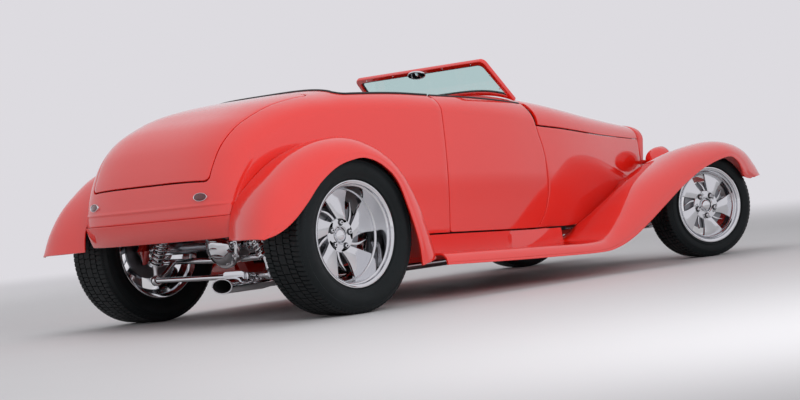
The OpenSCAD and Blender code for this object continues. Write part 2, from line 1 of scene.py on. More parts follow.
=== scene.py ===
"""Looks for the street rod roadster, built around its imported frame.

Lengths below are millimetres measured from the rear axle, as a body drawing gives them; place()
turns them into metres in the frame. +X is the nose, +Y the car's left, +Z up.
"""

import math

import bmesh
import bpy
from mathutils import Matrix, Vector


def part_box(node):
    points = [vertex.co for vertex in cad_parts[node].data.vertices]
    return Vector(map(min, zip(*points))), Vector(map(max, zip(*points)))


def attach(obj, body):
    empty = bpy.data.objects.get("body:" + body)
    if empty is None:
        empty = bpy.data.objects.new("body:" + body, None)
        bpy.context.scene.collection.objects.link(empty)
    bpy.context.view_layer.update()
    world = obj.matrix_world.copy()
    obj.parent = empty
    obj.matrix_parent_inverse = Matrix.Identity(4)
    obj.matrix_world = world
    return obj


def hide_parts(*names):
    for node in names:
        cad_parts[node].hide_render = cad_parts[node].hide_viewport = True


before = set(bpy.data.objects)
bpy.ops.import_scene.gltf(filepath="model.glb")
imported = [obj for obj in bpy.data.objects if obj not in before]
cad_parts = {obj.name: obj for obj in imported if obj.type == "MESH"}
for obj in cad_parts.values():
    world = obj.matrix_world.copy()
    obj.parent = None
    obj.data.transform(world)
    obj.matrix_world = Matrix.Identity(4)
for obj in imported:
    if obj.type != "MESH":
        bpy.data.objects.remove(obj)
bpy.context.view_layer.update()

# ------------------------------------------------------------------ places from the frame
MM = 0.001
LEFT, RIGHT = 1, -1
SIDES = ((LEFT, "l"), (RIGHT, "r"))


def centre(node):
    low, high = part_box(node)
    return (Vector(low) + Vector(high)) / 2


AXLE_X = centre("tyre_rl").x


def place(x, y, z):
    """Drawing millimetres to frame metres."""
    return Vector((AXLE_X + x * MM, y * MM, z * MM))


# ------------------------------------------------------------------ drawing values
WALL = 34
DECK_WALL = 18
HOOD_WALL = 14
DOOR_WALL = 58
SIDE_WALL = 16
FENDER_WALL = 9
SHUT_GAP = 5
COWL_X = 1585
NOSE_X = 2745
RIM_F = 0.875            # share of the half width at which the cockpit rim lies
LID_F = 0.79             # and the edge of the deck lid
LID_GAP_F = 0.80
TUCK_Z = 300             # height at which the side has its full tuck
STEER_REST = math.radians(17.7)
WS_FOOT = (1547, 909)    # windshield foot, x and z
WS_RAKE = math.radians(42)
WS_RAIL = 26
FENDER_Y = 894.5         # widest a fender may stand

# station, x, y, z of the quarter crease, then the step from it to the centreline in x and z
CREASE = [
    (0, 835, 622, 879, 0, 140), (1, 600, 617, 896, 0, 142), (2, 330, 603, 909, 0, 136),
    (3, 190, 593, 913, 4, 124), (4, 60, 581, 912, 12, 112), (5, -70, 569, 886, 32, 112),
    (6, -160, 561, 847, 62, 112), (7, -240, 553, 797, 94, 110), (8, -310, 546, 737, 116, 90),
    (9, -365, 540, 672, 118, 58), (10, -405, 535, 612, 110, 28), (11, -428, 531, 556, 98, 8),
    (12, -440, 529, 500, 84, -4),
]
# lower edge of the body side: x, z
SKIRT = [
    (-440, 475), (-405, 560), (-365, 605), (-300, 665), (-200, 715), (0, 745), (200, 720),
    (300, 665), (380, 570), (440, 420), (490, 325), (600, 314), (835, 303), (1600, 266),
    (2000, 262), (2300, 330), (2500, 420), (2800, 470),
]
# belt from the door forward: x, half width, height, crown above it
BELT = [
    (835, 622, 879, 140), (1100, 616, 853, 150), (1350, 602, 821, 162), (1575, 576, 789, 170),
    (1800, 543, 765, 160), (2000, 500, 742, 148), (2200, 448, 720, 134), (2400, 390, 703, 118),
    (2600, 331, 688, 102), (2795, 272, 675, 88),
]
# front edge of the door: z, x
DOOR_FRONT = [
    (262, 1470), (272, 1505), (290, 1545), (330, 1583), (370, 1606), (461, 1630), (520, 1633),
    (610, 1625), (700, 1608), (789, 1576), (905, 1545),
]
# rows of lip, crown and inner points along each fender, each x, y, z
REAR_FENDER = [
    (357, 868, 178, 497, 808, 205, 500, 612, 205), (345, 870, 290, 462, 802, 335, 470, 610, 345),
    (300, 872, 440, 412, 796, 470, 425, 612, 480), (243, 873, 574, 345, 785, 592, 365, 612, 600),
    (157, 873, 652, 262, 770, 690, 285, 610, 690), (60, 873, 688, 150, 748, 760, 170, 606, 745),
    (-30, 873, 683, 30, 733, 795, 40, 602, 775), (-126, 873, 656, -110, 724, 786, -105, 594, 762),
    (-226, 871, 595, -240, 717, 742, -235, 584, 715), (-313, 867, 512, -350, 713, 673, -345, 572, 640),
    (-397, 860, 442, -440, 716, 595, -430, 534, 560), (-470, 842, 398, -510, 719, 495, -478, 533, 475),
    (-530, 812, 377, -555, 722, 385, -492, 532, 385),
]
FRONT_FENDER = [
    (505, 876, 165, 505, 838, 212, 505, 560, 215), (800, 876, 150, 800, 838, 199, 800, 560, 203),
    (1200, 876, 132, 1200, 838, 180, 1200, 560, 184), (1600, 877, 118, 1600, 834, 163, 1600, 560, 166),
    (1745, 879, 130, 1735, 818, 188, 1700, 556, 184), (1880, 882, 172, 1860, 798, 262, 1815, 548, 210),
    (2020, 884, 240, 1985, 772, 350, 1930, 532, 256), (2165, 885, 318, 2120, 748, 432, 2080, 500, 304),
    (2325, 886, 402, 2300, 730, 505, 2260, 452, 366), (2525, 886, 484, 2530, 722, 577, 2500, 390, 456),
    (2735, 885, 528, 2740, 718, 610, 2700, 340, 400), (2825, 880, 505, 2890, 714, 605, 2850, 330, 385),
    (2872, 874, 455, 3030, 712, 562, 2960, 340, 385), (2900, 866, 414, 3118, 722, 486, 3050, 380, 396),
    (2975, 850, 404, 3160, 750, 408, 3110, 430, 400),
]


# ------------------------------------------------------------------ curves, as in the part's source
def mix(a, b, s):
    return a + (b - a) * s


def slope(table, i, c):
    a, b = table[max(i - 1, 0)], table[min(i + 1, len(table) - 1)]
    return (b[c] - a[c]) / (b[0] - a[0])


def smooth(x, table, c=1):
    """Smooth curve through column c of a table whose column 0 is the position."""
    i = 0
    while i < len(table) - 2 and x >= table[i + 1][0]:
        i += 1
    step = table[i + 1][0] - table[i][0]
    s = min(max((x - table[i][0]) / step, 0), 1)
    s2, s3 = s * s, s * s * s
    return ((2 * s3 - 3 * s2 + 1) * table[i][c] + (s3 - 2 * s2 + s) * step * slope(table, i, c)
            + (3 * s2 - 2 * s3) * table[i + 1][c] + (s3 - s2) * step * slope(table, i + 1, c))


def crown(f):
    return math.sqrt(max(0.0, 1 - abs(f) ** 4))


def side_y(belt_y, belt_z, z, low=TUCK_Z):
    h = (belt_z - z) / max(belt_z - low, 1)
    return belt_y + 30 * h * (1 - h) - 24 * h * h


def crease(s):
    return [smooth(s, CREASE, c) for c in range(1, 6)]


CREASE_X = [row[1:4] for row in reversed(CREASE)]


def tub_y(x, z):
    return side_y(smooth(x, CREASE_X, 1), smooth(x, CREASE_X, 2), z)


def belt(x):
    return [smooth(x, BELT, c) for c in (1, 2, 3)]


def deck_point(s, f):
    x, y, z, dx, dz = crease(s)
    return (x - dx * crown(f), f * y, z + dz * crown(f))


def front_point(x, f):
    y, z, rise = belt(x)
    return (x, f * y, z + rise * crown(f))


def side_point(x, v, rim=RIM_F):
    """v is 0 at the lower edge, 1 at the belt, 2 at the cockpit rim; right-hand side."""
    y, z, rise = belt(x)
    if v <= 1:
        zz = mix(smooth(x, SKIRT), z, v)
        return (x, -side_y(y, z, zz), zz)
    f = mix(1, rim, (v - 1) ** 1.6)
    return (x, -f * y, z + rise * crown(f))


def stations(table, count):
    """Fender sections evenly spread over the table's rows."""
    numbered = [(i,) + row for i, row in enumerate(table)]
    last = len(table) - 1
    return [[smooth(k * last / count, numbered, c) for c in range(1, 10)] for k in range(count + 1)]


def inner_y(p):
    """Where a fender's inner edge meets the body behind it."""
    if -425 < p[6] < 503:
        return tub_y(p[6], p[8]) + 1.2
    if 1650 < p[6] < NOSE_X:
        y, z, _ = belt(p[6])
        return side_y(y, z, p[8]) + 5
    return p[7]


def arch_row(p, outer=26, inner=16, groove=1.6):
    """One fender section, lip to crown to inner edge, with a shallow groove along the lip."""
    row = []
    for k in range(outer, 0, -1):
        a = math.pi / 2 * (k / outer) ** 0.85
        y = min(mix(p[4], p[1], math.sin(a)), FENDER_Y)
        if k in (outer - 3, outer - 4):
            y -= groove
        row.append((mix(p[3], p[0], 1 - math.cos(a)), y, mix(p[5], p[2], 1 - math.cos(a))))
    for k in range(inner + 1):
        a = math.pi / 2 * k / inner
        row.append((mix(p[3], p[6], 1 - math.cos(a)), mix(p[4], inner_y(p), k / inner),
                    mix(p[5], p[8], 1 - math.cos(a))))
    return row


# ------------------------------------------------------------------ mesh helpers
def new_mesh(name, verts, faces, marks=None):
    mesh = bpy.data.meshes.new(name)
    mesh.from_pydata([tuple(v) for v in verts], [], faces)
    if marks:
        mesh.polygons.foreach_set("material_index", marks)
    return mesh


def outward(mesh):
    """Turns every closed part's faces outwards, as a mirror leaves them the other way."""
    bm = bmesh.new()
    bm.from_mesh(mesh)
    bmesh.ops.recalc_face_normals(bm, faces=bm.faces)
    bm.to_mesh(mesh)
    bm.free()
    return mesh


def apply_modifiers(obj):
    bpy.context.view_layer.update()
    solved = obj.evaluated_get(bpy.context.evaluated_depsgraph_get())
    mesh = bpy.data.meshes.new_from_object(solved)
    obj.modifiers.clear()
    obj.data = mesh


def add_piece(name, mesh, body, materials, replaces=(), bevel=0, steps=2, angle=35, sub=0):
    """Puts a mesh in the scene: bevels its edges, smooths it, and lets it ride on a body."""
    obj = bpy.data.objects.new(name, outward(mesh))
    bpy.context.scene.collection.objects.link(obj)
    for material in materials if isinstance(materials, (list, tuple)) else [materials]:
        mesh.materials.append(material)
    if sub:
        modifier = obj.modifiers.new("smooth", "SUBSURF")
        modifier.levels = sub
        modifier.render_levels = sub
    if bevel:
        modifier = obj.modifiers.new("edges", "BEVEL")
        modifier.width = bevel * MM
        modifier.segments = steps
        modifier.limit_method = "ANGLE"
        modifier.angle_limit = math.radians(50)
    if obj.modifiers:
        apply_modifiers(obj)
    obj.data.set_sharp_from_angle(angle=math.radians(angle))
    obj.data.polygons.foreach_set("use_smooth", [True] * len(obj.data.polygons))
    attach(obj, body)
    for node in replaces:
        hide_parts(node)
    return obj


def unit(v):
    return v / max(v.length, 1e-9)


def sheet_mesh(name, rows, thickness, hole=None, flip=False, inner_mark=None):
    """Closed sheet: rows of drawing points are the outer face, thickness is laid inside.

    hole(i, j) is true for a cell that stays open; inner_mark(i, j) gives the material number
    of an inner face.
    """
    grid = [[Vector(p) for p in row] for row in rows]
    ni, nj = len(grid) - 1, len(grid[0]) - 1
    cell = [[unit((grid[i + 1][j + 1] - grid[i][j]).cross(grid[i + 1][j] - grid[i][j + 1]))
             for j in range(nj)] for i in range(ni)]
    side = -1 if flip else 1
    verts = [p for row in grid for p in row]
    inner = []
    for i in range(ni + 1):
        for j in range(nj + 1):
            total = Vector((0, 0, 0))
            for a in range(max(i - 1, 0), min(i, ni - 1) + 1):
                for b in range(max(j - 1, 0), min(j, nj - 1) + 1):
                    total += cell[a][b]
            inner.append(grid[i][j] - side * thickness * unit(total))
    count = len(verts)
    verts = [place(*p) for p in verts + inner]

    def is_open(i, j):
        return not (0 <= i < ni and 0 <= j < nj) or (hole is not None and hole(i, j))

    faces, marks = [], []
    for i in range(ni):
        for j in range(nj):
            if is_open(i, j):
                continue
            a, b = i * (nj + 1) + j, i * (nj + 1) + j + 1
            d, c = a + nj + 1, b + nj + 1
            quads = [(a, b, c, d), (d + count, c + count, b + count, a + count)]
            numbers = [0, inner_mark(i, j) if inner_mark else 0]
            for near, e, f in ((is_open(i - 1, j), a, b), (is_open(i + 1, j), c, d),
                               (is_open(i, j - 1), d, a), (is_open(i, j + 1), b, c)):
                if near:
                    quads.append((f, e, e + count, f + count))
                    numbers.append(0)
            faces += quads
            marks += numbers
    return new_mesh(name, verts, faces, marks)


def mirrored(rows, side):
    """Rows drawn for the car's left or right, by the sign of side."""
    return [[(x, y * side, z) for x, y, z in row] for row in rows]


def ring_faces(rings, n, onward=True):
    """Quads between rings of n points each; onward joins the last ring to the first."""
    return [(k * n + i, k * n + (i + 1) % n, (k + 1) % rings * n + (i + 1) % n, (k + 1) % rings * n + i)
            for k in range(rings if onward else rings - 1) for i in range(n)]


def spin_mesh(name, profile, axis="y", steps=96):
    """Turns a closed (radius, height) profile about the Y axis, or the Z axis."""
    verts = []
    for k in range(steps):
        a = 2 * math.pi * k / steps
        for r, h in profile:
            out, over, along = r * math.cos(a) * MM, r * math.sin(a) * MM, h * MM
            verts.append((out, along, over) if axis == "y" else (out, over, along))
    return new_mesh(name, verts, ring_faces(steps, len(profile)))


def prism_mesh(name, outline, low, high, holes=()):
    """Extrudes an outline of (x, z) from y = low to high, in millimetres."""
    bm = bmesh.new()
    loops = [outline] + list(holes)
    edges = []
    for loop in loops:
        ring = [bm.verts.new((x * MM, low * MM, z * MM)) for x, z in loop]
        edges += [bm.edges.new((ring[i], ring[(i + 1) % len(ring)])) for i in range(len(ring))]
    filled = bmesh.ops.triangle_fill(bm, use_beauty=True, use_dissolve=True, edges=edges)
    flat = [g for g in filled["geom"] if isinstance(g, bmesh.types.BMFace)]
    extruded = bmesh.ops.extrude_face_region(bm, geom=flat)
    moved = [g for g in extruded["geom"] if isinstance(g, bmesh.types.BMVert)]
    bmesh.ops.translate(bm, verts=moved, vec=(0, (high - low) * MM, 0))
    bmesh.ops.recalc_face_normals(bm, faces=bm.faces)
    mesh = bpy.data.meshes.new(name)
    bm.to_mesh(mesh)
    bm.free()
    return mesh


def tube_mesh(name, points, radius, sides=12, closed=False):
    """Round tube along drawing points; radius may be a number or one for each point."""
    path = [Vector(p) for p in points]
    n = len(path)
    verts = []
    for k, p in enumerate(path):
        before = path[(k - 1) % n] if closed or k > 0 else p
        after = path[(k + 1) % n] if closed or k < n - 1 else p
        along = unit(after - before)
        across = along.cross(Vector((0, 0, 1)))
        if across.length < 0.05:
            across = along.cross(Vector((0, 1, 0)))
        across = unit(across)
        top = unit(across.cross(along))
        r = radius[k] if isinstance(radius, (list, tuple)) else radius
        for s in range(sides):
            a = 2 * math.pi * s / sides
            verts.append(place(*(p + r * math.cos(a) * across + r * math.sin(a) * top)))
    faces = ring_faces(n, sides, closed)
    if not closed:
        faces += [tuple(range(sides)), tuple(range((n - 1) * sides, n * sides))]
    return new_mesh(name, verts, faces)


def moved(mesh, matrix):
    mesh.transform(matrix)
    return mesh


def joined(name, meshes):
    """Several meshes as one."""
    bm = bmesh.new()
    for mesh in meshes:
        bm.from_mesh(mesh)
        bpy.data.meshes.remove(mesh)
    mesh = bpy.data.meshes.new(name)
    bm.to_mesh(mesh)
    bm.free()
    return mesh


def box_mesh(name, x0, x1, y0, y1, z0, z1):
    corners = [place(x, y, z) for x in (x0, x1) for y in (y0, y1) for z in (z0, z1)]
    faces = [(0, 1, 3, 2), (4, 6, 7, 5), (0, 4, 5, 1), (2, 3, 7, 6), (0, 2, 6, 4), (1, 5, 7, 3)]
    return new_mesh(name, corners, faces)


# ------------------------------------------------------------------ materials
def srgb(r, g, b):
    """Linear colour from 0..255 screen values."""
    def linear(c):
        c /= 255
        return c / 12.92 if c <= 0.04045 else ((c + 0.055) / 1.055) ** 2.4
    return (linear(r), linear(g), linear(b), 1)


class Finish:
    """A node material with object coordinates, and short ways to add noise to it."""

    def __init__(self, name, colour, roughness, metallic=0.0, **more):
        self.material = bpy.data.materials.new(name)
        self.material.use_nodes = True
        self.tree = self.material.node_tree
        self.shader = self.tree.nodes["Principled BSDF"]
        self.set("Base Color", colour)
        self.set("Roughness", roughness)
        self.set("Metallic", metallic)
        for key, value in more.items():
            self.set(key.replace("_", " "), value)
        self.coords = self.tree.nodes.new("ShaderNodeTexCoord")

    def set(self, key, value):
        for socket in self.shader.inputs:
            if socket.name.lower() == key.lower():
                socket.default_value = value

    def link(self, a, b):
        self.tree.links.new(a, b)

    def noise(self, scale, detail=2.0, stretch=(1, 1, 1)):
        mapping = self.tree.nodes.new("ShaderNodeMapping")
        mapping.inputs["Scale"].default_value = stretch
        self.link(self.coords.outputs["Object"], mapping.inputs["Vector"])
        node = self.tree.nodes.new("ShaderNodeTexNoise")
        node.inputs["Scale"].default_value = scale
        node.inputs["Detail"].default_value = detail
        self.link(mapping.outputs["Vector"], node.inputs["Vector"])
        return node.outputs["Fac"]

    def voronoi(self, scale):
        node = self.tree.nodes.new("ShaderNodeTexVoronoi")
        node.inputs["Scale"].default_value = scale
        self.link(self.coords.outputs["Object"], node.inputs["Vector"])
        return node.outputs["Distance"]

    def vary(self, key, source, low, high):
        """Drives a socket between two values or colours by a texture."""
        socket = next(s for s in self.shader.inputs if s.name.lower() == key.lower())
        if isinstance(low, tuple):
            node = self.tree.nodes.new("ShaderNodeMix")
            node.data_type = "RGBA"
            self.link(source, node.inputs["Factor"])
            node.inputs[6].default_value = low
            node.inputs[7].default_value = high
            self.link(node.outputs[2], socket)
        else:
            node = self.tree.nodes.new("ShaderNodeMapRange")
            node.inputs["To Min"].default_value = low
            node.inputs["To Max"].default_value = high
            self.link(source, node.inputs["Value"])
            self.link(node.outputs["Result"], socket)

    def bump(self, source, height, strength=1.0, socket="Normal"):
        node = self.tree.nodes.new("ShaderNodeBump")
        node.inputs["Strength"].default_value = strength
        node.inputs["Distance"].default_value = height * MM
        self.link(source, node.inputs["Height"])
        target = next(s for s in self.shader.inputs if s.name == socket)
        if target.is_linked:
            self.link(target.links[0].from_socket, node.inputs["Normal"])
        self.link(node.outputs["Normal"], target)


def paint_finish(name, base, flake):
    """Two-stage paint: flaked base under a clear coat with a trace of orange peel."""
    f = Finish(name, base, 0.5, Coat_Weight=1.0, Coat_Roughness=0.012, Coat_IOR=1.95, Specular_IOR_Level=0.12)
    f.vary("Base Color", f.voronoi(1400), base, flake)
    f.vary("Roughness", f.noise(40), 0.36, 0.46)
    f.bump(f.noise(420, 1), 0.004, 0.2, "Coat Normal")
    return f.material


def metal_finish(name, colour, low, high, brush=None, height=0.02):
    f = Finish(name, colour, low, 1.0)
    f.vary("Roughness", f.noise(26, 4), low, high)
    if brush:
        f.bump(f.noise(900, 2, brush), height, 0.25)
    else:
        f.bump(f.noise(160, 3), height, 0.12)
    return f.material


def rubber_finish(name):
    f = Finish(name, srgb(14, 18, 20), 0.55, Specular_IOR_Level=0.25)
    f.vary("Base Color", f.noise(9, 4), srgb(9, 13, 15), srgb(20, 26, 28))
    f.vary("Roughness", f.noise(60, 5), 0.42, 0.66)
    f.bump(f.noise(700, 4), 0.15, 0.35)
    return f.material


def leather_finish(name, colour, light):
    f = Finish(name, colour, 0.5)
    f.vary("Base Color", f.noise(5, 4), colour, light)
    f.vary("Roughness", f.noise(70, 4), 0.38, 0.6)
    f.bump(f.voronoi(260), 0.35, 0.5)
    f.bump(f.noise(900, 3), 0.08, 0.5)
    return f.material


def carpet_finish(name):
    f = Finish(name, srgb(30, 29, 31), 0.95, Sheen_Weight=0.3)
    f.vary("Base Color", f.noise(420, 3), srgb(20, 19, 21), srgb(52, 50, 53))
    f.bump(f.noise(500, 4), 1.2, 0.8)
    return f.material


def plastic_finish(name, colour, low, high, grain=500, height=0.05):
    f = Finish(name, colour, low)
    f.vary("Roughness", f.noise(30, 3), low, high)
    f.bump(f.noise(grain, 3), height, 0.3)
    return f.material


def glass_finish(name, colour):
    f = Finish(name, colour, 0.0, IOR=1.25, Transmission_Weight=1.0)
    f.vary("Roughness", f.noise(8, 3), 0.0, 0.02)
    return f.material


def lens_finish(name, colour, deep):
    f = Finish(name, colour, 0.12, Coat_Weight=1.0, Coat_Roughness=0.03)
    f.vary("Base Color", f.voronoi(160), colour, deep)
    f.bump(f.voronoi(160), 0.8, 0.5)
    return f.material


PAINT = paint_finish("red_paint", srgb(224, 20, 4), srgb(232, 34, 14))
SATIN_RED = paint_finish("red_chassis_paint", srgb(196, 26, 18), srgb(210, 40, 30))
POLISHED = metal_finish("polished_aluminium", srgb(226, 227, 230), 0.05, 0.13, None, 0.015)
BRUSHED = metal_finish("machined_aluminium", srgb(205, 206, 210), 0.16, 0.28, (1, 12, 1), 0.03)
CHROME = metal_finish("chrome", srgb(232, 233, 236), 0.02, 0.06, None, 0.008)
STEEL = metal_finish("bare_steel", srgb(140, 141, 145), 0.28, 0.45, (9, 1, 1), 0.05)
RUBBER = rubber_finish("tyre_rubber")
TRIM = plastic_finish("black_trim", srgb(20, 20, 22), 0.35, 0.5)
LEATHER = leather_finish("black_leather", srgb(26, 25, 26), srgb(40, 38, 39))
CARPET = carpet_finish("black_carpet")
GLASS = glass_finish("tinted_glass", srgb(206, 234, 231))
RED_LENS = lens_finish("red_lens", srgb(112, 10, 18), srgb(60, 6, 12))
CLEAR_LENS = lens_finish("lamp_glass", srgb(214, 220, 226), srgb(150, 158, 168))
# near-black finish for the inside of the exhaust tip: painted shade of the pipe's dark depth
TIP_SHADE_BLACK = plastic_finish("tip_painted_shade", srgb(10, 10, 11), 0.8, 0.95, 300, 0.3)
CAST_IRON = plastic_finish("dark_casting", srgb(44, 45, 48), 0.45, 0.62, 240, 0.4)

# ------------------------------------------------------------------ body panels
LID_TOP_S, LID_END_S = 3.4, 9.8
LAMP_S = 10.65            # station of the tail lamps
COCKPIT_END_S = 2.4


def corner(s, end, reach, depth):
    """How far a rounded corner draws its edge in, at s near end."""
    near = 1 - abs(end - s) / reach
    if near <= 0:
        return 0.0
    return depth * (1 - math.sqrt(max(0.0, 1 - min(near, 1) ** 2)))


def opening_edge(s, f_lid, top, end):
    """Half width, as a share, of the cockpit and then the lid opening at station s."""
    if s <= COCKPIT_END_S:
        return RIM_F - corner(s, COCKPIT_END_S, 0.35, 0.07)
    if s < top:
        low = RIM_F - 0.07
        return mix(low, f_lid - 0.06, (s - COCKPIT_END_S) / (top - COCKPIT_END_S))
    edge = f_lid - corner(s, top, 0.3, 0.06) - corner(s, end, 0.3, 0.05)
    return edge if s <= end else f_lid - 0.05


def tail_detail(x, z):
    """Character line across the tail: the skin stands out to a ridge, drops straight, turns under."""
    if x > -330:
        return 0.0
    rise = smooth(z, TAIL_LINE) if z < 600 else 0.0
    return rise * min(1.0, (-330 - x) / 60)


# height, how far the tail stands out there
TAIL_LINE = [(380, 2), (494, 2.0), (500, 5.2), (505, 5.6), (543, 5.2), (549, 7.4), (553, 7.0), (562, 3.0),
             (600, 0)]


def build_tub():
    def marks(start, end, step):
        count = max(1, round((end - start) / step))
        return [start + (end - start) * k / count for k in range(count)]

    s_rows = (marks(0, COCKPIT_END_S - 0.35, 0.15) + marks(COCKPIT_END_S - 0.35, COCKPIT_END_S, 0.035)
              + marks(COCKPIT_END_S, LID_TOP_S, 0.1) + marks(LID_TOP_S, LID_TOP_S + 0.4, 0.04)
              + marks(LID_TOP_S + 0.4, LID_END_S - 0.4, 0.12)
              + marks(LID_END_S - 0.4, LID_END_S, 0.03) + marks(LID_END_S, 12, 0.035) + [12.0])
    side_count, strip, middle = 20, 22, 36
    rows = []
    for s in s_rows:
        x, y, z = crease(s)[:3]
        low = min(smooth(x, SKIRT), z - 24)
        edge = opening_edge(s, LID_GAP_F, LID_TOP_S, LID_END_S)
        half = [-1 + (1 - edge) * (k / strip) ** 1.7 for k in range(strip + 1)]
        shares = half + [-edge + 2 * edge * k / middle for k in range(1, middle)]
        shares += [-f for f in reversed(half)]
        row = [(x, -side_y(y, z, mix(low, z, k / side_count)), mix(low, z, k / side_count))
               for k in range(side_count)]
        row += [deck_point(s, f) for f in shares]
        row += [(x, -p[1], p[2]) for p in reversed(row[:side_count])]
        rows.append([(px - tail_detail(px, pz), py, pz) for px, py, pz in row])
    first = side_count + strip
    last = first + middle
    cockpit_i = s_rows.index(COCKPIT_END_S)
    lid_i = s_rows.index(LID_TOP_S), s_rows.index(LID_END_S)

    def hole(i, j):
        return first <= j < last and (i < cockpit_i or lid_i[0] <= i < lid_i[1])

    def lining(i, j):
        return 1 if i < cockpit_i else 2
    mesh = sheet_mesh("body_shell", rows, WALL, hole, False, lining)
    add_piece("body_shell", mesh, "car", [PAINT, LEATHER, CARPET], ["body_tub"], 1.6)


def build_deck_lid():
    top, end = LID_TOP_S + 0.04, LID_END_S - 0.1
    count, across = 90, 40
    rows = []
    for i in range(count + 1):
        s = mix(top, end, i / count)
        edge = LID_F - corner(s, top, 0.3, 0.06) - corner(s, end, 0.3, 0.05)
        rows.append([deck_point(s, edge * (2 * k / across - 1)) for k in range(across + 1)])
    mesh = sheet_mesh("deck_lid_skin", rows, DECK_WALL, None, False, lambda i, j: 1)
    add_piece("deck_lid_skin", mesh, "deck_lid", [PAINT, CARPET], ["deck_lid"], 1.6)


def door_rows(start, count=60):
    steps = [0.001 * k for k in range(0, 20, 4)] + [0.02 + 0.98 * k / 34 for k in range(35)]
    shares = steps + [1 + k / 16 for k in range(1, 17)]
    rows = []
    for i in range(count + 1):
        row = []
        for v in shares:
            z = side_point(1300, v)[2]
            lift = max(0.0, 1 - (z - side_point(1300, 0)[2]) / 16)
            near = start + 16 * (1 - math.sqrt(max(0.0, 1 - lift * lift)))
            x = mix(near, smooth(z, DOOR_FRONT) - SHUT_GAP, i / count)
            row.append(side_point(x, v))
        rows.append(row)
    return rows


def build_doors():
    for side, name in ((LEFT, "door_l"), (RIGHT, "door_r")):
        rows = mirrored(door_rows(835 + SHUT_GAP), -side)
        mesh = sheet_mesh(name + "_skin", rows, DOOR_WALL - 9, None, side == RIGHT, lambda i, j: 1)
        add_piece(name + "_skin", mesh, name, [PAINT, LEATHER], [name], 1.6)
        build_door_card(side, name)


def build_door_card(side, name):
    """Padded trim panel with pleats and a pull, on the door's inner face."""
    rows = []
    n = 72
    for i in range(n + 1):
        x = mix(880, 1500, i / n)
        pleat = 2.2 * abs(math.sin(math.pi * (x - 880) / 62))
        row = []
        for k in range(25):
            v = mix(0.12, 0.94, k / 24)
            px, py, pz = side_point(x, v)
            wide = 1 if 0.2 < v < 0.72 else 0
            edge = min(i, n - i, 4) / 4 * min(k, 24 - k, 2) / 2
            row.append((px, -side * (py + DOOR_WALL - 8 + 5 * edge + pleat * wide * edge), pz))
        rows.append(row)
    mesh = sheet_mesh(name + "_card", rows, 5, None, side == LEFT)
    add_piece(name + "_card", mesh, name, LEATHER)
    y = -side * (side_point(1180, 0.6)[1] + DOOR_WALL + 4)
    rest = [(x, y, 605 + 10 * math.sin((x - 1000) / 120)) for x in range(1000, 1361, 20)]
    add_piece(name + "_pull", tube_mesh(name + "_pull", rest, 9, 14), name, POLISHED)


def build_nose_panels():
    count = 90
    across = 56
    rows = [[front_point(mix(COWL_X, NOSE_X, i / count), math.sin(math.radians(k * 180 / across)))
             for k in range(-across // 2, across // 2 + 1)] for i in range(count + 1)]
    mesh = sheet_mesh("hood_skin", rows, HOOD_WALL, None, True, lambda i, j: 1)
    add_piece("hood_skin", mesh, "hood", [PAINT, TRIM], ["hood_top"], 1.4)
    shares = [0.985 * k / 34 for k in range(35)]
    rows = []
    for i in range(81):
        row = []
        for v in shares:
            z = side_point(1300, v)[2]
            row.append(side_point(mix(smooth(z, DOOR_FRONT), NOSE_X, i / 80), v))
        rows.append(row)
    for side, name in ((LEFT, "hood_side_l"), (RIGHT, "hood_side_r")):
        mesh = sheet_mesh(name + "_skin", mirrored(rows, -side), SIDE_WALL, None, side == RIGHT)
        add_piece(name + "_skin", mesh, "car", PAINT, [name], 1.4)
    rows = [[front_point(mix(1420, COWL_X - SHUT_GAP, i / 24), 0.86 * (k / 30 - 1)) for k in range(61)]
            for i in range(25)]
    mesh = sheet_mesh("cowl_skin", rows, 30, None, True, lambda i, j: 1)
    add_piece("cowl_skin", mesh, "car", [PAINT, LEATHER], ["cowl"], 1.6)
    for side, end in SIDES:
        y = sorted((395 * side, 440 * side))
        post = box_mesh("cowl_post", 1500, COWL_X - 8, y[0], y[1], 244, 890)
        add_piece("cowl_post_" + end, post, "car", SATIN_RED, (), 4)


def build_fenders():
    for table, count, label in ((REAR_FENDER, 120, "rear"), (FRONT_FENDER, 150, "front")):
        rows = [arch_row(p) for p in stations(table, count)]
        for side, end in SIDES:
            name = f"{label}_fender_{end}"
            mesh = sheet_mesh(name + "_skin", mirrored(rows, side), FENDER_WALL, None, side == LEFT)
            add_piece(name + "_skin", mesh, "car", PAINT, [name], 2.6, 3)


def build_sill_panels():
    """Painted boards between the body's lower edge and the running boards."""
    rows = []
    for k in range(61):
        x = mix(452, 1700, k / 60)
        top = smooth(x, SKIRT) - 8
        foot = mix(206, 168, k / 60)
        rows.append([(x, mix(567, tub_y(x, top) - 12 if x < 1300 else 560, (j / 8) ** 1.5),
                      mix(foot, top, j / 8))
                     for j in range(9)])
    for side, end in SIDES:
        mesh = sheet_mesh("sill_panel_" + end, mirrored(rows, side), 3, None, side == RIGHT)
        add_piece("sill_panel_" + end, mesh, "car", PAINT)


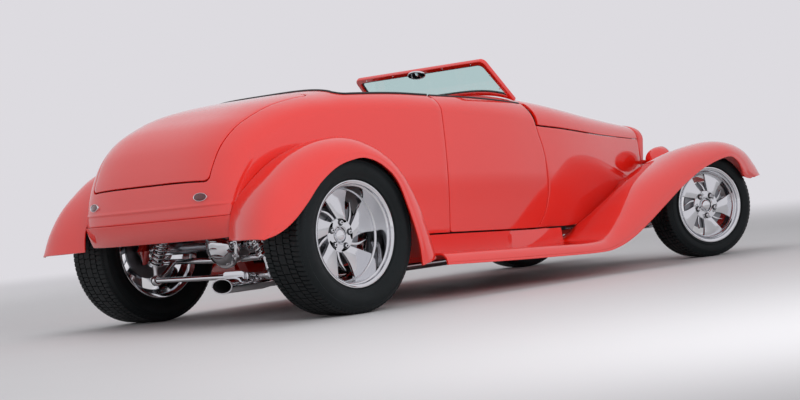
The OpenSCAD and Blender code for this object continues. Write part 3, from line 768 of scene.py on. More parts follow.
def build_roll_pan():
    rim = crease(12)
    rows = []
    for k in range(25):
        down = k / 24
        under = 34 * down ** 2.2
        rows.append([(rim[0] - TAIL_LINE[1][1] * (1 - down) - (rim[3] - under) * crown(w) + 16 * down,
                      w * rim[1], 498.5 - 2.5 * crown(w) - 92 * down ** 0.94)
                     for w in (math.sin(math.radians(j * 90 / 40)) * 0.995 for j in range(-40, 41))])
    mesh = sheet_mesh("roll_pan_skin", rows, 10, None, True)
    add_piece("roll_pan_skin", mesh, "car", PAINT, ["roll_pan"], 2)
    for side, end in SIDES:
        head = spin_mesh("pan_bolt", [(0.1, 6), (4, 6), (4.5, 3), (8.5, 3), (10, 1), (10, -5), (0.1, -5)],
                         "z", 24)
        turn = Matrix.Rotation(math.radians(-90), 4, "Y")
        spot = place(rim[0] - (rim[3] - 8) * crown(0.75) + 7, side * 0.75 * rim[1], 450)
        moved(head, Matrix.Translation(spot) @ turn)
        add_piece("pan_bolt_" + end, head, "car", CHROME)


# ------------------------------------------------------------------ wheels and tyres
SPOKES = 5


def arc_points(cx, cz, r, a0, a1, count):
    return [(cx + r * math.cos(math.radians(mix(a0, a1, k / count))),
             cz + r * math.sin(math.radians(mix(a0, a1, k / count)))) for k in range(count + 1)]


def polar(r, degrees):
    return (r * math.cos(math.radians(degrees)), r * math.sin(math.radians(degrees)))


def curve(points, count):
    """Smooth open curve through polar points (radius, degrees), as x and z."""
    xy = [polar(*p) for p in points]
    table = [(i, x, z) for i, (x, z) in enumerate(xy)]
    last = len(xy) - 1
    return [(smooth(last * k / count, table, 1), smooth(last * k / count, table, 2))
            for k in range(count + 1)]


def blade_outline(reach):
    """One turbine blade: its tip is swept on from its root, narrow at the hub and wide at the rim."""
    low = curve([(0.34 * reach, -2), (0.48 * reach, 13), (0.72 * reach, 20), (reach, 20)], 12)
    high = curve([(reach, 63), (0.6 * reach, 57), (0.4 * reach, 49), (0.26 * reach, 33)], 12)
    return low + arc_points(0, 0, reach, 23, 60, 8) + high


def fin_outline(reach):
    """Thin pointed fin that curves out from the hub between two blades."""
    near = curve([(0.30 * reach, 47), (0.46 * reach, 59), (0.62 * reach, 68), (0.80 * reach, 80)], 10)
    far = curve([(0.80 * reach, 80.6), (0.62 * reach, 73), (0.46 * reach, 66), (0.30 * reach, 59)], 10)
    return near + far


def lug_mesh():
    return spin_mesh("lug", [(3.6, 2), (4.2, 11), (6.2, 12.2), (8.8, 10.5), (9.6, 7), (9.6, 0), (12.5, -1.2),
                             (12.5, -4), (3.6, -4)], "y", 20)


def build_wheel(name, body, node, r, width, face, hub_in, disc_r, spin, turn, mirror):
    """r and width of the rim; face is how far the spokes' outer face lies outboard of its middle."""
    w = width / 2
    barrel = [(r, w), (r - 5, w), (r - 8, w - 2.5), (r - 10, w - 4), (r - 15, w - 6), (r - 17, w - 10),
              (r - 18, w - 16), (r - 23, w - 18.5), (r - 25, w - 21), (r - 25.5, w - 26),
              (r - 28, face + 26), (r - 30, face + 14), (r - 35, face + 9), (r - 37, face + 4),
              (r - 38, face - 14),
              (r - 44, face - 24), (r - 45, -w * 0.5), (r - 22, -w * 0.72), (r - 20, -w + 12),
              (r - 8, -w + 3),
              (r - 5, -w), (r, -w), (r, -w + 5), (r - 11, -w + 11), (r - 13, -w * 0.74), (r - 35, -w * 0.6),
              (r - 33, face - 24), (r - 26, face + 2), (r - 16, w * 0.68), (r - 13, w - 14),
              (r - 11, w - 10), (r, w - 5)]
    parts = [spin_mesh("barrel", barrel, "y", 128)]
    reach = r - 36
    for k in range(SPOKES):
        lean = Matrix.Rotation(-2 * math.pi * k / SPOKES, 4, "Y")
        parts.append(moved(prism_mesh("blade", blade_outline(reach), face - 15, face), lean))
        parts.append(moved(prism_mesh("fin", fin_outline(reach), face - 24, face - 6), lean))
    disc = [(hub_in_r, h) for hub_in_r,
            h in ((36.5, face - 12), (36.5, hub_in), (64, hub_in), (76, face - 16),
                                              (78, face - 2.5), (75, face), (44, face), (41, face - 3),
                                              (38, face - 3))]
    parts.append(spin_mesh("hub", disc, "y", 96))
    wheel = joined(name + "_wheel", parts)
    centre_at = centre(node)
    pose = Matrix.Translation(centre_at) @ Matrix.Rotation(turn, 4, "Z")
    pose = pose @ Matrix.Diagonal((1, mirror, 1, 1)) @ Matrix.Rotation(spin, 4, "Y")
    add_piece(name + "_wheel", moved(wheel, pose), body, POLISHED, [node], 1.3, 2, 30)
    cap = spin_mesh("cap", [(0.1, face + 13), (9, face + 12.4), (18, face + 10.2), (25, face + 6.4),
                            (29.5, face + 1),
                            (31, face - 4), (33, face - 5), (33, face - 9), (0.1, face - 9)], "y", 64)
    lugs, seats = [cap], []
    seat = [(9.8, 0.8), (14, 1.4), (15.5, 0.6), (15.5, -6), (9.8, -6)]
    for k in range(SPOKES):
        a = 2 * math.pi * (k + 0.42) / SPOKES
        shift = Matrix.Translation(Vector((57 * math.cos(a), face, 57 * math.sin(a))) * MM)
        lugs.append(moved(lug_mesh(), shift))
        seats.append(moved(spin_mesh("seat", seat, "y", 24), shift))
    add_piece(name + "_cap_and_lugs", moved(joined("caps", lugs), pose), body, CHROME, (), 0, 2, 30)
    add_piece(name + "_lug_seats", moved(joined("seats", seats), pose), body, CAST_IRON)
    vents = [(disc_r, hub_in), (disc_r, hub_in + 4), (disc_r - 3, hub_in + 4.2), (disc_r - 3, hub_in + 7.8),
             (disc_r, hub_in + 8), (disc_r, hub_in + 12), (disc_r - 48, hub_in + 12),
             (disc_r - 50, hub_in + 19),
             (66, hub_in + 19), (66, hub_in)]
    add_piece(name + "_brake_disc", moved(spin_mesh("disc", vents, "y", 96), pose), body,
              STEEL)


def tread_columns(width):
    """Places across the tread, each with its groove depth share and which rib it is on."""
    half = width * 0.405
    grooves = [(-0.25, 7), (-0.085, 6), (0.085, 6), (0.25, 7)]
    columns = [(-half, 0, 0)]
    edge = -half
    for rib, (share, wide) in enumerate(grooves + [(None, 0)]):
        end = half if share is None else share * width - wide / 2
        for k in range(1, 5):
            columns.append((mix(edge, end, k / 4), 0, rib))
        if share is not None:
            columns.append((end + 1.2, 1, rib))
            columns.append((share * width + wide / 2 - 1.2, 1, rib))
            columns.append((share * width + wide / 2, 0, rib + 1))
            edge = share * width + wide / 2
    return columns


def crown_drop(y, width):
    """How far the tread lies below its full radius, y from the middle."""
    t = abs(y) / (width * 0.5)
    return 1.2 * t * t + 26 * max(0.0, t - 0.60) ** 2 + 60 * max(0.0, t - 0.78) ** 2


def build_tyre(name, body, node, r, width, rim, rim_width, turn, pitches, mirror):
    b = rim_width / 2
    columns = tread_columns(width)
    edge_r = r - crown_drop(columns[-1][0], width)
    edge_y = columns[-1][0]
    mid = (r + rim) / 2
    wall = [(edge_r - 2, edge_y + 2.2), (edge_r - 7, edge_y + 5.5), (edge_r - 13, edge_y + 8.5),
            (edge_r - 20, width * 0.472), (edge_r - 28, width * 0.487), (edge_r - 30, width * 0.487),
            (edge_r - 31.5, width * 0.481), (edge_r - 36, width * 0.486),
            (mid + 6, width * 0.4985), (mid - 4, width * 0.4985), (mid - 18, width * 0.490),
            (mix(rim, mid, 0.42), mix(b, width * 0.49, 0.62)),
            (mix(rim, mid, 0.40), mix(b, width * 0.49, 0.575)),
            (mix(rim, mid, 0.3), mix(b, width * 0.49, 0.50)), (rim + 12, b + 7), (rim + 7.5, b + 5.5),
            (rim + 6, b + 2),
            (rim + 3, b - 2), (rim + 1.5, b - 6), (rim - 10, b - 12), (rim - 10, b - 20), (rim + 8, b - 20),
            (r - 30, width * 0.4), (r - 16, width * 0.3)]
    profile = [(rr, -y) for rr, y in reversed(wall)]
    first = len(profile)
    profile += [(r - crown_drop(y, width), y) for y, _, _ in columns]
    profile += list(wall)
    depth = 6.5
    phases = ((0.0, 0), (0.05, 1), (0.20, 1), (0.25, 0))
    shoulder = {0: 0.0, 1: 0.5, 2: 0.25, 3: 0.0, 4: 0.5}
    verts = []
    rings = pitches * len(phases)
    for k in range(rings):
        pitch, (phase, cut) = k // len(phases), phases[k % len(phases)]
        for i, (rr, y) in enumerate(profile):
            shear = 0.0
            if first <= i < first + len(columns):
                _, groove, rib = columns[i - first]
                shear = shoulder[rib] + 0.9 * y / width
                centre_rib = rib == 2
                in_sipe = cut and not groove and (not centre_rib or pitch % 2 == 0)
                rr -= depth * (1 if groove else (0.8 if in_sipe else 0))
            elif i in (first - 1, first - 2, first + len(columns), first + len(columns) + 1):
                shear = (shoulder[0 if i < first else 4] + 0.9 * (-0.405 if i < first else 0.405))
                rr -= 3.2 * cut
            a = 2 * math.pi * (pitch + phase + shear) / pitches
            verts.append((rr * math.cos(a) * MM, y * MM, rr * math.sin(a) * MM))
    mesh = new_mesh(name + "_tyre", verts, ring_faces(rings, len(profile)))
    pose = Matrix.Translation(centre(node)) @ Matrix.Rotation(turn, 4,
                                                              "Z") @ Matrix.Diagonal((1, mirror, 1, 1))
    add_piece(name + "_tyre", moved(mesh, pose), body, RUBBER, [node], 0, 2, 32)


def build_corners():
    for side, end, label in ((LEFT, "l", "left"), (RIGHT, "r", "right")):
        build_wheel("rear_" + label, "wheel_rear_" + label, "wheel_r" + end, 240.5, 229, 14, -32, 140,
                    math.radians(20), 0, side)
        build_tyre("rear_" + label, "wheel_rear_" + label, "tyre_r" + end, 356, 272, 240.5, 229, 0, 96, side)
        build_wheel("front_" + label, "wheel_front_" + label, "wheel_f" + end, 203.5, 190, 57, 24, 125,
                    math.radians(48), -STEER_REST, side)
        build_tyre("front_" + label, "wheel_front_" + label, "tyre_f" + end, 280, 204, 203.5, 190,
                   -STEER_REST, 78, side)


# ------------------------------------------------------------------ cabin
def ws_v(y):
    """Height along the windshield's plane at which it meets the cowl."""
    v = 60.0
    for _ in range(8):
        b_y, b_z, rise = belt(WS_FOOT[0] - v * math.sin(WS_RAKE))
        v = (b_z + rise * crown(y / b_y) - WS_FOOT[1]) / math.cos(WS_RAKE)
    return v


def ws_outline(g):
    """Windshield outline drawn in by g, as (y, v) in its own plane."""
    low = [(y, ws_v(y) + 16 + g) for y in ((-488 + g) + (976 - 2 * g) * k / 48 for k in range(49))]
    right = arc_points(440 - g, 282 - g, 30, 0, 90, 10)
    left = arc_points(-440 + g, 282 - g, 30, 90, 180, 10)
    return low + right + left


def ws_place(y, v, w):
    """A point of the windshield's plane: y across, v up along it, w out of it to the front."""
    x = WS_FOOT[0] - v * math.sin(WS_RAKE) + w * math.cos(WS_RAKE)
    return (x, y, WS_FOOT[1] + v * math.cos(WS_RAKE) + w * math.sin(WS_RAKE))


def band_mesh(name, outer, inner, half):
    """Closed band between two windshield outlines, half thick each way."""
    verts, faces = [], []
    n = len(outer)
    for a, b in zip(outer, inner):
        for (y, v), w in ((a, half), (b, half), (b, -half), (a, -half)):
            verts.append(place(*ws_place(y, v, w)))
    for k in range(n):
        for i in range(4):
            j = (i + 1) % 4
            nxt = (k + 1) % n
            faces.append((k * 4 + i, k * 4 + j, nxt * 4 + j, nxt * 4 + i))
    return new_mesh(name, verts, faces)


def plate_mesh(name, outline, half):
    n = len(outline)
    verts = [place(*ws_place(y, v, w)) for w in (half, -half) for y, v in outline]
    faces = [tuple(range(n)), tuple(range(2 * n - 1, n - 1, -1))]
    faces += [(k, (k + 1) % n, n + (k + 1) % n, n + k) for k in range(n)]
    return new_mesh(name, verts, faces)


def build_windshield():
    frame_mesh = band_mesh("windshield_rail", ws_outline(0), ws_outline(WS_RAIL), 12)
    add_piece("windshield_rail", frame_mesh, "car", PAINT, ["windshield_frame"], 7, 4)
    seal = band_mesh("windshield_seal", ws_outline(WS_RAIL - 2), ws_outline(WS_RAIL + 5), 6)
    add_piece("windshield_seal", seal, "car", TRIM, (), 1.5)
    glass = plate_mesh("windshield_pane", ws_outline(WS_RAIL - 1), 3)
    add_piece("windshield_pane", glass, "car", GLASS, ["windshield_glass"])
    screws = []
    for side in (LEFT, RIGHT):
        for y, v in ((452, 120), (452, 215), (380, 299), (180, 299)):
            spot = place(*ws_place(side * y, v, -12.4))
            head = spin_mesh("screw", [(0.1, 1.8), (1.4, 1.8), (1.5, 1.0), (3.6, 1.0), (4.4, 0), (4.4, -3),
                                       (0.1, -3)], "z", 16)
            turn = Matrix.Rotation(-WS_RAKE - math.pi / 2, 4, "Y")
            screws.append(moved(head, Matrix.Translation(spot) @ turn))
    add_piece("windshield_screws", joined("screws", screws), "car", CHROME)


def build_mirror():
    """Oval glass in a polished bezel, on the header."""
    verts, faces = [], []
    rings = [(0.0, 20.4), (0.5, 20.2), (0.88, 19.4), (0.9, 20.4), (0.95, 20.4), (1.0, 18), (1.0, 12.4),
             (0.8, 12.4)]
    steps = 64
    for share, w in rings:
        for k in range(steps):
            a = 2 * math.pi * k / steps
            spot = ws_place(62 * max(share, 0.01) * math.cos(a), 296 + 27 * max(share, 0.01) * math.sin(a),
                            -w - 9.3)
            verts.append(place(*spot))
    for r in range(len(rings) - 1):
        for k in range(steps):
            n = (k + 1) % steps
            faces.append((r * steps + k, r * steps + n, (r + 1) * steps + n, (r + 1) * steps + k))
    faces.append(tuple(range(steps)))
    faces.append(tuple(range(len(rings) * steps - 1, (len(rings) - 1) * steps - 1, -1)))
    add_piece("mirror_oval", new_mesh("mirror_oval", verts, faces), "car", CHROME,
              ["rear_view_mirror"], 0, 2, 40)


def build_cockpit_trim():
    """Black windlace round the cockpit: on each door, and round the tub behind them."""
    for side, name in ((LEFT, "door_l"), (RIGHT, "door_r")):
        path = []
        for k in range(40):
            x = mix(848, 1530, k / 39)
            px, py, pz = side_point(x, 2)
            path.append((px, -side * (py + 7), pz + 1.5))
        mesh = tube_mesh(name + "_windlace", path, 6.5, 12)
        add_piece(name + "_windlace", mesh, name, TRIM)
    path = []
    for k in range(70):
        s = mix(0.02, COCKPIT_END_S, k / 69)
        edge = opening_edge(s, LID_GAP_F, LID_TOP_S, LID_END_S)
        x, y, z = deck_point(s, edge - 0.012)
        path.append((x, y, z + 0.5))
    across = [deck_point(COCKPIT_END_S, (RIM_F - 0.07) * (1 - 2 * k / 40)) for k in range(1, 40)]
    across = [(x + 6, y, z + 0.5) for x, y, z in across]
    path = path + across + [(x, -y, z) for x, y, z in reversed(path)]
    add_piece("cockpit_windlace", tube_mesh("cockpit_windlace", path, 6.5, 12), "car", TRIM)


def build_steering():
    tilt = Matrix.Rotation(math.radians(-63.45), 4, "Y")
    at = place(1180, 318, 800)
    ring = []
    for k in range(24):
        a = 2 * math.pi * k / 24
        ring.append((160 + 13 * math.cos(a), 12.4 * math.sin(a)))
    grip = moved(spin_mesh("grip", ring, "z", 120), Matrix.Translation(at) @ tilt)
    add_piece("steering_grip", grip, "steering_wheel", LEATHER, ["steering_wheel"])
    parts = []
    for a in (90, 210, 330):
        arm = [(28, 15), (90, 12), (150, 15), (156, 12), (156, -12), (150, -15), (90, -12), (28, -15)]
        holes = [arc_points(c, 0, r, 0, 337.5, 15) for c, r in ((66, 6), (92, 5.4), (116, 5))]
        spoke = prism_mesh("spoke", arm, -4, 3, holes)
        flat = Matrix.Rotation(math.radians(a), 4, "Z") @ Matrix.Rotation(math.pi / 2, 4, "X")
        parts.append(moved(spoke, Matrix.Translation(at) @ tilt @ flat))
    boss = [(0.1, 16), (14, 15.6), (24, 13.5), (29, 9), (30, 4), (32, 2), (32, -20), (29, -26), (13, -29),
            (13, -2), (0.1, -2)]
    parts.append(moved(spin_mesh("boss", boss, "z", 64), Matrix.Translation(at) @ tilt))
    add_piece("steering_spokes", joined("spokes", parts), "steering_wheel", POLISHED,
              (), 0.8)


def build_dashboard():
    """Painted dash with a rolled edge and a row of plain dials."""
    outline = [(1500, 740), (1436, 740), (1430, 750), (1430, 800), (1433, 850), (1446, 870), (1466, 875),
               (1500, 875)]
    rows = [[(x, y, z) for x, z in outline] for y in [mix(-440, 440, k / 40) for k in range(41)]]
    mesh = sheet_mesh("dash_panel", rows, 4, None, False)
    add_piece("dash_panel", mesh, "car", PAINT, ["dashboard"], 1.2)
    rings, dials = [], []
    for y, z, r in ((318, 812, 42), (215, 812, 34), (130, 815, 24), (72, 815, 24), (14, 815, 24)):
        spot = place(1430, y, z)
        turn = Matrix.Translation(spot) @ Matrix.Rotation(-math.pi / 2, 4, "Y")
        bezel = [(r - 4, -3), (r - 4, 1.5), (r - 2, 3.6), (r + 1, 3.8), (r + 3, 1), (r + 3, -3)]
        rings.append(moved(spin_mesh("bezel", bezel, "z", 48), turn))
        dial = [(0.1, 0.8), (1.8, 0.8), (2, 0.2), (r - 4, 0.0), (r - 4, -2), (0.1, -2)]
        dials.append(moved(spin_mesh("dial", dial, "z", 48), turn))
        needle = prism_mesh("needle", [(-4, -1.1), (-4, 1.1), (r - 9, 0.3), (r - 9, -0.3)], -0.5, 0.5)
        lean = Matrix.Rotation(math.radians(135), 4, "Z") @ Matrix.Rotation(math.pi / 2, 4, "X")
        rings.append(moved(needle, turn @ Matrix.Translation((0, 0, 1.6 * MM)) @ lean))
        for k in range(11):
            mark = prism_mesh("mark", [(r - 8, -0.5), (r - 8, 0.5), (r - 5, 0.5), (r - 5, -0.5)], -0.2, 0.4)
            lean = Matrix.Rotation(math.radians(-45 + 27 * k), 4, "Z") @ Matrix.Rotation(math.pi / 2, 4, "X")
            rings.append(moved(mark, turn @ Matrix.Translation((0, 0, 0.4 * MM)) @ lean))
    add_piece("dial_bezels", joined("dial_bezels", rings), "car", CHROME)
    add_piece("dial_faces", joined("dial_faces", dials), "car", TRIM)


def cushion(name, node, outline, pleat_axis):
    """Padded bench piece: a rounded block, swollen by cloth, then given sewn channels."""
    low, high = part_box(node)
    bm = bmesh.new()
    y0, y1 = low.y + 0.014, high.y - 0.014
    front = [bm.verts.new((AXLE_X + x * MM, y0, z * MM)) for x, z in outline]
    face = bm.faces.new(front)
    extruded = bmesh.ops.extrude_face_region(bm, geom=[face])
    bmesh.ops.translate(bm, verts=[g for g in extruded["geom"] if isinstance(g, bmesh.types.BMVert)],
                        vec=(0, y1 - y0, 0))
    bmesh.ops.recalc_face_normals(bm, faces=bm.faces)
    mesh = bpy.data.meshes.new(name)
    bm.to_mesh(mesh)
    bm.free()
    obj = bpy.data.objects.new(name, mesh)
    bpy.context.scene.collection.objects.link(obj)
    remesh = obj.modifiers.new("even", "REMESH")
    remesh.mode = "VOXEL"
    remesh.voxel_size = 0.009
    apply_modifiers(obj)
    bm = bmesh.new()
    bm.from_mesh(obj.data)
    for _ in range(10):
        bmesh.ops.smooth_vert(bm, verts=bm.verts, factor=0.5, use_axis_x=True, use_axis_y=True,
                              use_axis_z=True)
    bm.to_mesh(obj.data)
    bm.free()
    rest = [v.co.copy() for v in obj.data.vertices]
    cloth = obj.modifiers.new("swell", "CLOTH")
    cloth.settings.use_pressure = True
    cloth.settings.uniform_pressure_force = 4
    cloth.settings.effector_weights.gravity = 0
    scene = bpy.context.scene
    for number in range(1, 15):
        scene.frame_set(number)
    apply_modifiers(obj)
    scene.frame_set(1)
    limit = 0.012
    for v, start in zip(obj.data.vertices, rest):
        step = v.co - start
        if step.length > limit:
            v.co = start + step * (limit / step.length)
    for v, start in zip(obj.data.vertices, rest):
        along = (start.y - y0) / (y1 - y0)
        seam = abs(math.sin(math.pi * along * 14))
        middle = min(abs(along - 0.5) * 40, 1)
        toward = start - centre(node)
        sink = 0.010 * math.exp(-((seam) / 0.22) ** 2) + 0.012 * (1 - middle)
        axis = Vector((1, 0, 0)) if pleat_axis == "x" else Vector((0, 0, 1))
        if toward.dot(axis) > 0:
            v.co -= axis * sink
    for v in obj.data.vertices:
        v.co = Vector([min(max(c, a), b) for c, a, b in zip(v.co, low, high)])
    mesh = obj.data
    bpy.data.objects.remove(obj)
    piece = add_piece(name, mesh, "car", LEATHER, [node], 0, 2, 60, 1)


def build_seat():
    cushion("bench_cushion", "seat_cushion",
            [(440, 392), (912, 392), (928, 424), (912, 470), (874, 488), (590, 470), (440, 462)], "z")
    cushion("bench_back", "seat_back",
            [(430, 500), (430, 915), (446, 948), (474, 948), (494, 922), (562, 524), (548, 498)], "x")


# ------------------------------------------------------------------ lights and nose
def tail_frame(s, f):
    """Place and outward direction of a point of the tail."""
    p = Vector(deck_point(s, f))
    a = Vector(deck_point(s, f + 0.01)) - p
    b = Vector(deck_point(s - 0.1, f)) - p
    n = unit(a.cross(b))
    return p, n if n.x < 0 else -n


def build_tail_lights():
    for side, end in SIDES:
        p, n = tail_frame(LAMP_S, side * 0.735)
        z_axis = n
        x_axis = unit(Vector((0, 1, 0)) - n * n.y)
        y_axis = z_axis.cross(x_axis)
        basis = Matrix((x_axis, y_axis, z_axis)).transposed().to_4x4()
        pose = Matrix.Translation(place(*p)) @ basis
        shape = Matrix.Diagonal((1, 0.47, 1, 1))
        bezel = [(35, -2), (35, 6), (36.6, 8.4), (38.8, 8.2), (40, 5), (40, -2)]
        lens = [(0.1, 8.6), (14, 8.1), (26, 6.8), (35.5, 4.6), (35.5, -2), (0.1, -2)]
        mesh = moved(spin_mesh("bezel", bezel, "z", 64), pose @ shape)
        add_piece("tail_bezel_" + end, mesh, "car", CHROME, ["tail_lights"])
        mesh = moved(spin_mesh("lens", lens, "z", 64), pose @ shape)
        add_piece("tail_lens_" + end, mesh, "car", RED_LENS)


def build_headlights():
    for side, end in SIDES:
        at = place(2815, 376 * side, 555)
        pose = Matrix.Translation(at) @ Matrix.Rotation(math.pi / 2, 4, "Y")
        bucket = [(0.1, -95), (12, -93.6), (24, -89), (36, -80), (46, -69), (54, -56), (60, -42), (64.4, -26),
                  (66.6, -12), (67, 4), (67, 14), (61, 16), (0.1, 10)]
        stalk = tube_mesh("stalk",
                          [(2795, 330 * side, 547), (2795, 304 * side, 544), (2795, 275 * side, 545)],
                          [15, 11, 13], 20)
        body = joined("bucket", [moved(spin_mesh("bucket", bucket, "z", 72), pose), stalk])
        add_piece("lamp_bucket_" + end, body, "car", PAINT, ["headlights"])
        ring = [(60, 14), (68, 14), (68, 22), (65, 27), (60, 28), (58, 25)]
        add_piece("lamp_ring_" + end, moved(spin_mesh("ring", ring, "z", 72), pose), "car", CHROME)
        lens = [(0.1, 33.5), (20, 32.6), (40, 30), (54, 26.6), (60, 24), (60, 17), (0.1, 17)]
        add_piece("lamp_lens_" + end, moved(spin_mesh("lens", lens, "z", 72), pose), "car",
                  CLEAR_LENS)


def build_grille():
    """Painted shell with a rolled edge, and a set of upright polished bars."""
    y0, z0, rise = belt(NOSE_X)

    def outline(g):
        top = [(-math.sin(math.radians(a)) * (y0 - g), z0 + (rise - g) * crown(math.sin(math.radians(a))))
               for a in range(90, -91, -5)]
        return [(y, z) for y, z in top] + [(y * (245 - g) / 240, 292 + g) for y in (240, 120, 0, -120, -240)]
    outer, inner = outline(0), outline(26)
    verts = []
    back, front = NOSE_X + 10, NOSE_X + 65
    for (ya, za), (yb, zb) in zip(outer, inner):
        drop = 6 * max(0.0, (za - 400) / 360)
        for x, y, z in ((back, ya, za), (front, ya * 0.985, za - drop), (front, yb * 0.985, zb - drop),
                        (back, yb, zb)):
            verts.append(place(x, y, z))
    add_piece("grille_surround", new_mesh("grille_surround", verts, ring_faces(len(outer), 4)), "car",
              PAINT,
              ["grille_shell"], 12, 5)
    bars = []
    for k in range(-17, 18):
        y = 12.5 * k
        top = z0 + rise * crown(y / y0) - 26
        bars.append(tube_mesh("bar", [(NOSE_X + 37, y, 300), (NOSE_X + 37, y, top)], 3.1, 10))
    add_piece("grille_bars", joined("grille_bars", bars), "car", POLISHED)
    mesh = box_mesh("radiator", NOSE_X + 12, NOSE_X + 24, -232, 232, 300, 700)
    add_piece("radiator_core", mesh, "car", CAST_IRON, (), 1)


# ------------------------------------------------------------------ carried-over parts
def finish_node(name, material):
    """Gives a CAD node that stays a better material."""
    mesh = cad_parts[name].data
    if not mesh.materials:
        mesh.materials.append(material)
    for k in range(len(mesh.materials)):
        mesh.materials[k] = material


def build_spring(side, end):
    """Coil-over: damper, springs seats and a chrome coil, leaning in to the frame."""
    foot, head = Vector((-175, 404 * side, 292)), Vector((-175, 306 * side, 446))
    along = unit(head - foot)
    across = unit(along.cross(Vector((1, 0, 0))))
    other = along.cross(across)
    length = (head - foot).length
    coil = []
    turns = 7
    for k in range(turns * 20 + 1):
        a = 2 * math.pi * k / 20
        h = mix(14, length - 14, k / (turns * 20))
        coil.append(foot + along * h + across * (30 * math.cos(a)) + other * (30 * math.sin(a)))
    add_piece("coil_spring_" + end, tube_mesh("coil", coil, 5.2, 10), "car", CHROME,
              ["rear_suspension"])
    low = [foot + along * h for h in (0, 3, 10, 12, 60, 62, length - 12, length - 10, length - 3, length)]
    radii = [30, 36.5, 36.5, 22, 22, 14, 14, 36.5, 36.5, 26]
    parts = [tube_mesh("damper", low, radii, 24),
             tube_mesh("lower", [(-175, 412 * side, 228), (-175, 410 * side, 262), (-175, 405 * side, 292)],
                       [13, 13, 18], 16),
             tube_mesh("upper", [(-175, 306 * side, 446), (-175, 300 * side, 470), (-175, 300 * side, 487)],
                       [18, 13, 13], 16)]
    add_piece("damper_" + end, joined("damper", parts), "car", POLISHED)


def oval_tube(name, line, a, b, wall):
    """Hollow oval pipe: line is (x, y, z, scale) along its middle, a and b are its half sizes."""
    steps = 48
    rings = [(at, 0) for at in line] + [(at, wall) for at in reversed(line)]
    verts = []
    for (x, y, z, scale), g in rings:
        for k in range(steps):
            t = 2 * math.pi * k / steps
            verts.append(place(x, y + (a * scale - g) * math.cos(t), z + (b * scale - g) * math.sin(t)))
    return new_mesh(name, verts, ring_faces(len(rings), steps))


def build_exhaust():
    """Two pipes to the rear, one crossing over, into an oval silencer with a hollow tip."""
    body = [(-350, -280, 177, 1.0), (-340, -280, 177, 1.0), (-330, -280, 177, 0.97), (-300, -280, 177, 0.96),
            (-120, -280, 177, 0.96), (-80, -280, 176, 0.8), (-52, -280, 175, 0.5)]
    add_piece("exhaust_tip", oval_tube("tip", body, 72, 36, 4), "car", CHROME, ["exhaust"])
    steps = 64
    ring = []
    for k in range(steps):
        t = 2 * math.pi * k / steps
        ring.append((-346, -280 + 69 * math.cos(t), 177 + 33 * math.sin(t)))
    add_piece("exhaust_lip", tube_mesh("lip", ring, 3.6, 12, True), "car", CHROME)
    # near-black lining and an end plate that nearly closes the pipe: painted shade where the tip's depth goes
    # dark
    dark = oval_tube("tip_painted_shade", [(-336, -280, 177, 0.93), (-120, -280, 177, 0.9)], 72, 36, 3)
    add_piece("exhaust_inside", dark, "car", TIP_SHADE_BLACK)
    end = oval_tube("tip_painted_shade_end", [(-200, -280, 177, 0.9), (-198, -280, 177, 0.9)], 72, 36, 30)
    add_piece("exhaust_end", end, "car", TIP_SHADE_BLACK)
    parts = [tube_mesh("left",
                       bend([(1900, 200, 214), (1900, 200, 148), (600, 200, 148), (600, -180, 148)], 60),
                       23.5, 20),
             tube_mesh("right", bend([(1900, -200, 214), (1900, -200, 148), (600, -200, 148),
                                      (-60, -280, 172)], 60), 23.5, 20)]
    add_piece("exhaust_pipes", joined("pipes", parts), "car", CHROME)


def bend(points, radius, steps=8):
    """Corner points rounded into quadratic bends."""
    path = [Vector(points[0])]
    for a, b, c in zip(points, points[1:], points[2:]):
        a, b, c = Vector(a), Vector(b), Vector(c)
        start = b + unit(a - b) * min(radius, (a - b).length * 0.45)
        stop = b + unit(c - b) * min(radius, (c - b).length * 0.45)
        for k in range(steps + 1):
            t = k / steps
            path.append(start * (1 - t) ** 2 + b * 2 * t * (1 - t) + stop * t * t)
    path.append(Vector(points[-1]))
    return path


def axis_spin(name, profile, at, direction, steps=64):
    """A turned part whose axis points along direction from a drawing point."""
    turn = Vector((0, 0, 1)).rotation_difference(Vector(direction)).to_matrix().to_4x4()
    return moved(spin_mesh(name, profile, "z", steps), Matrix.Translation(place(*at)) @ turn)


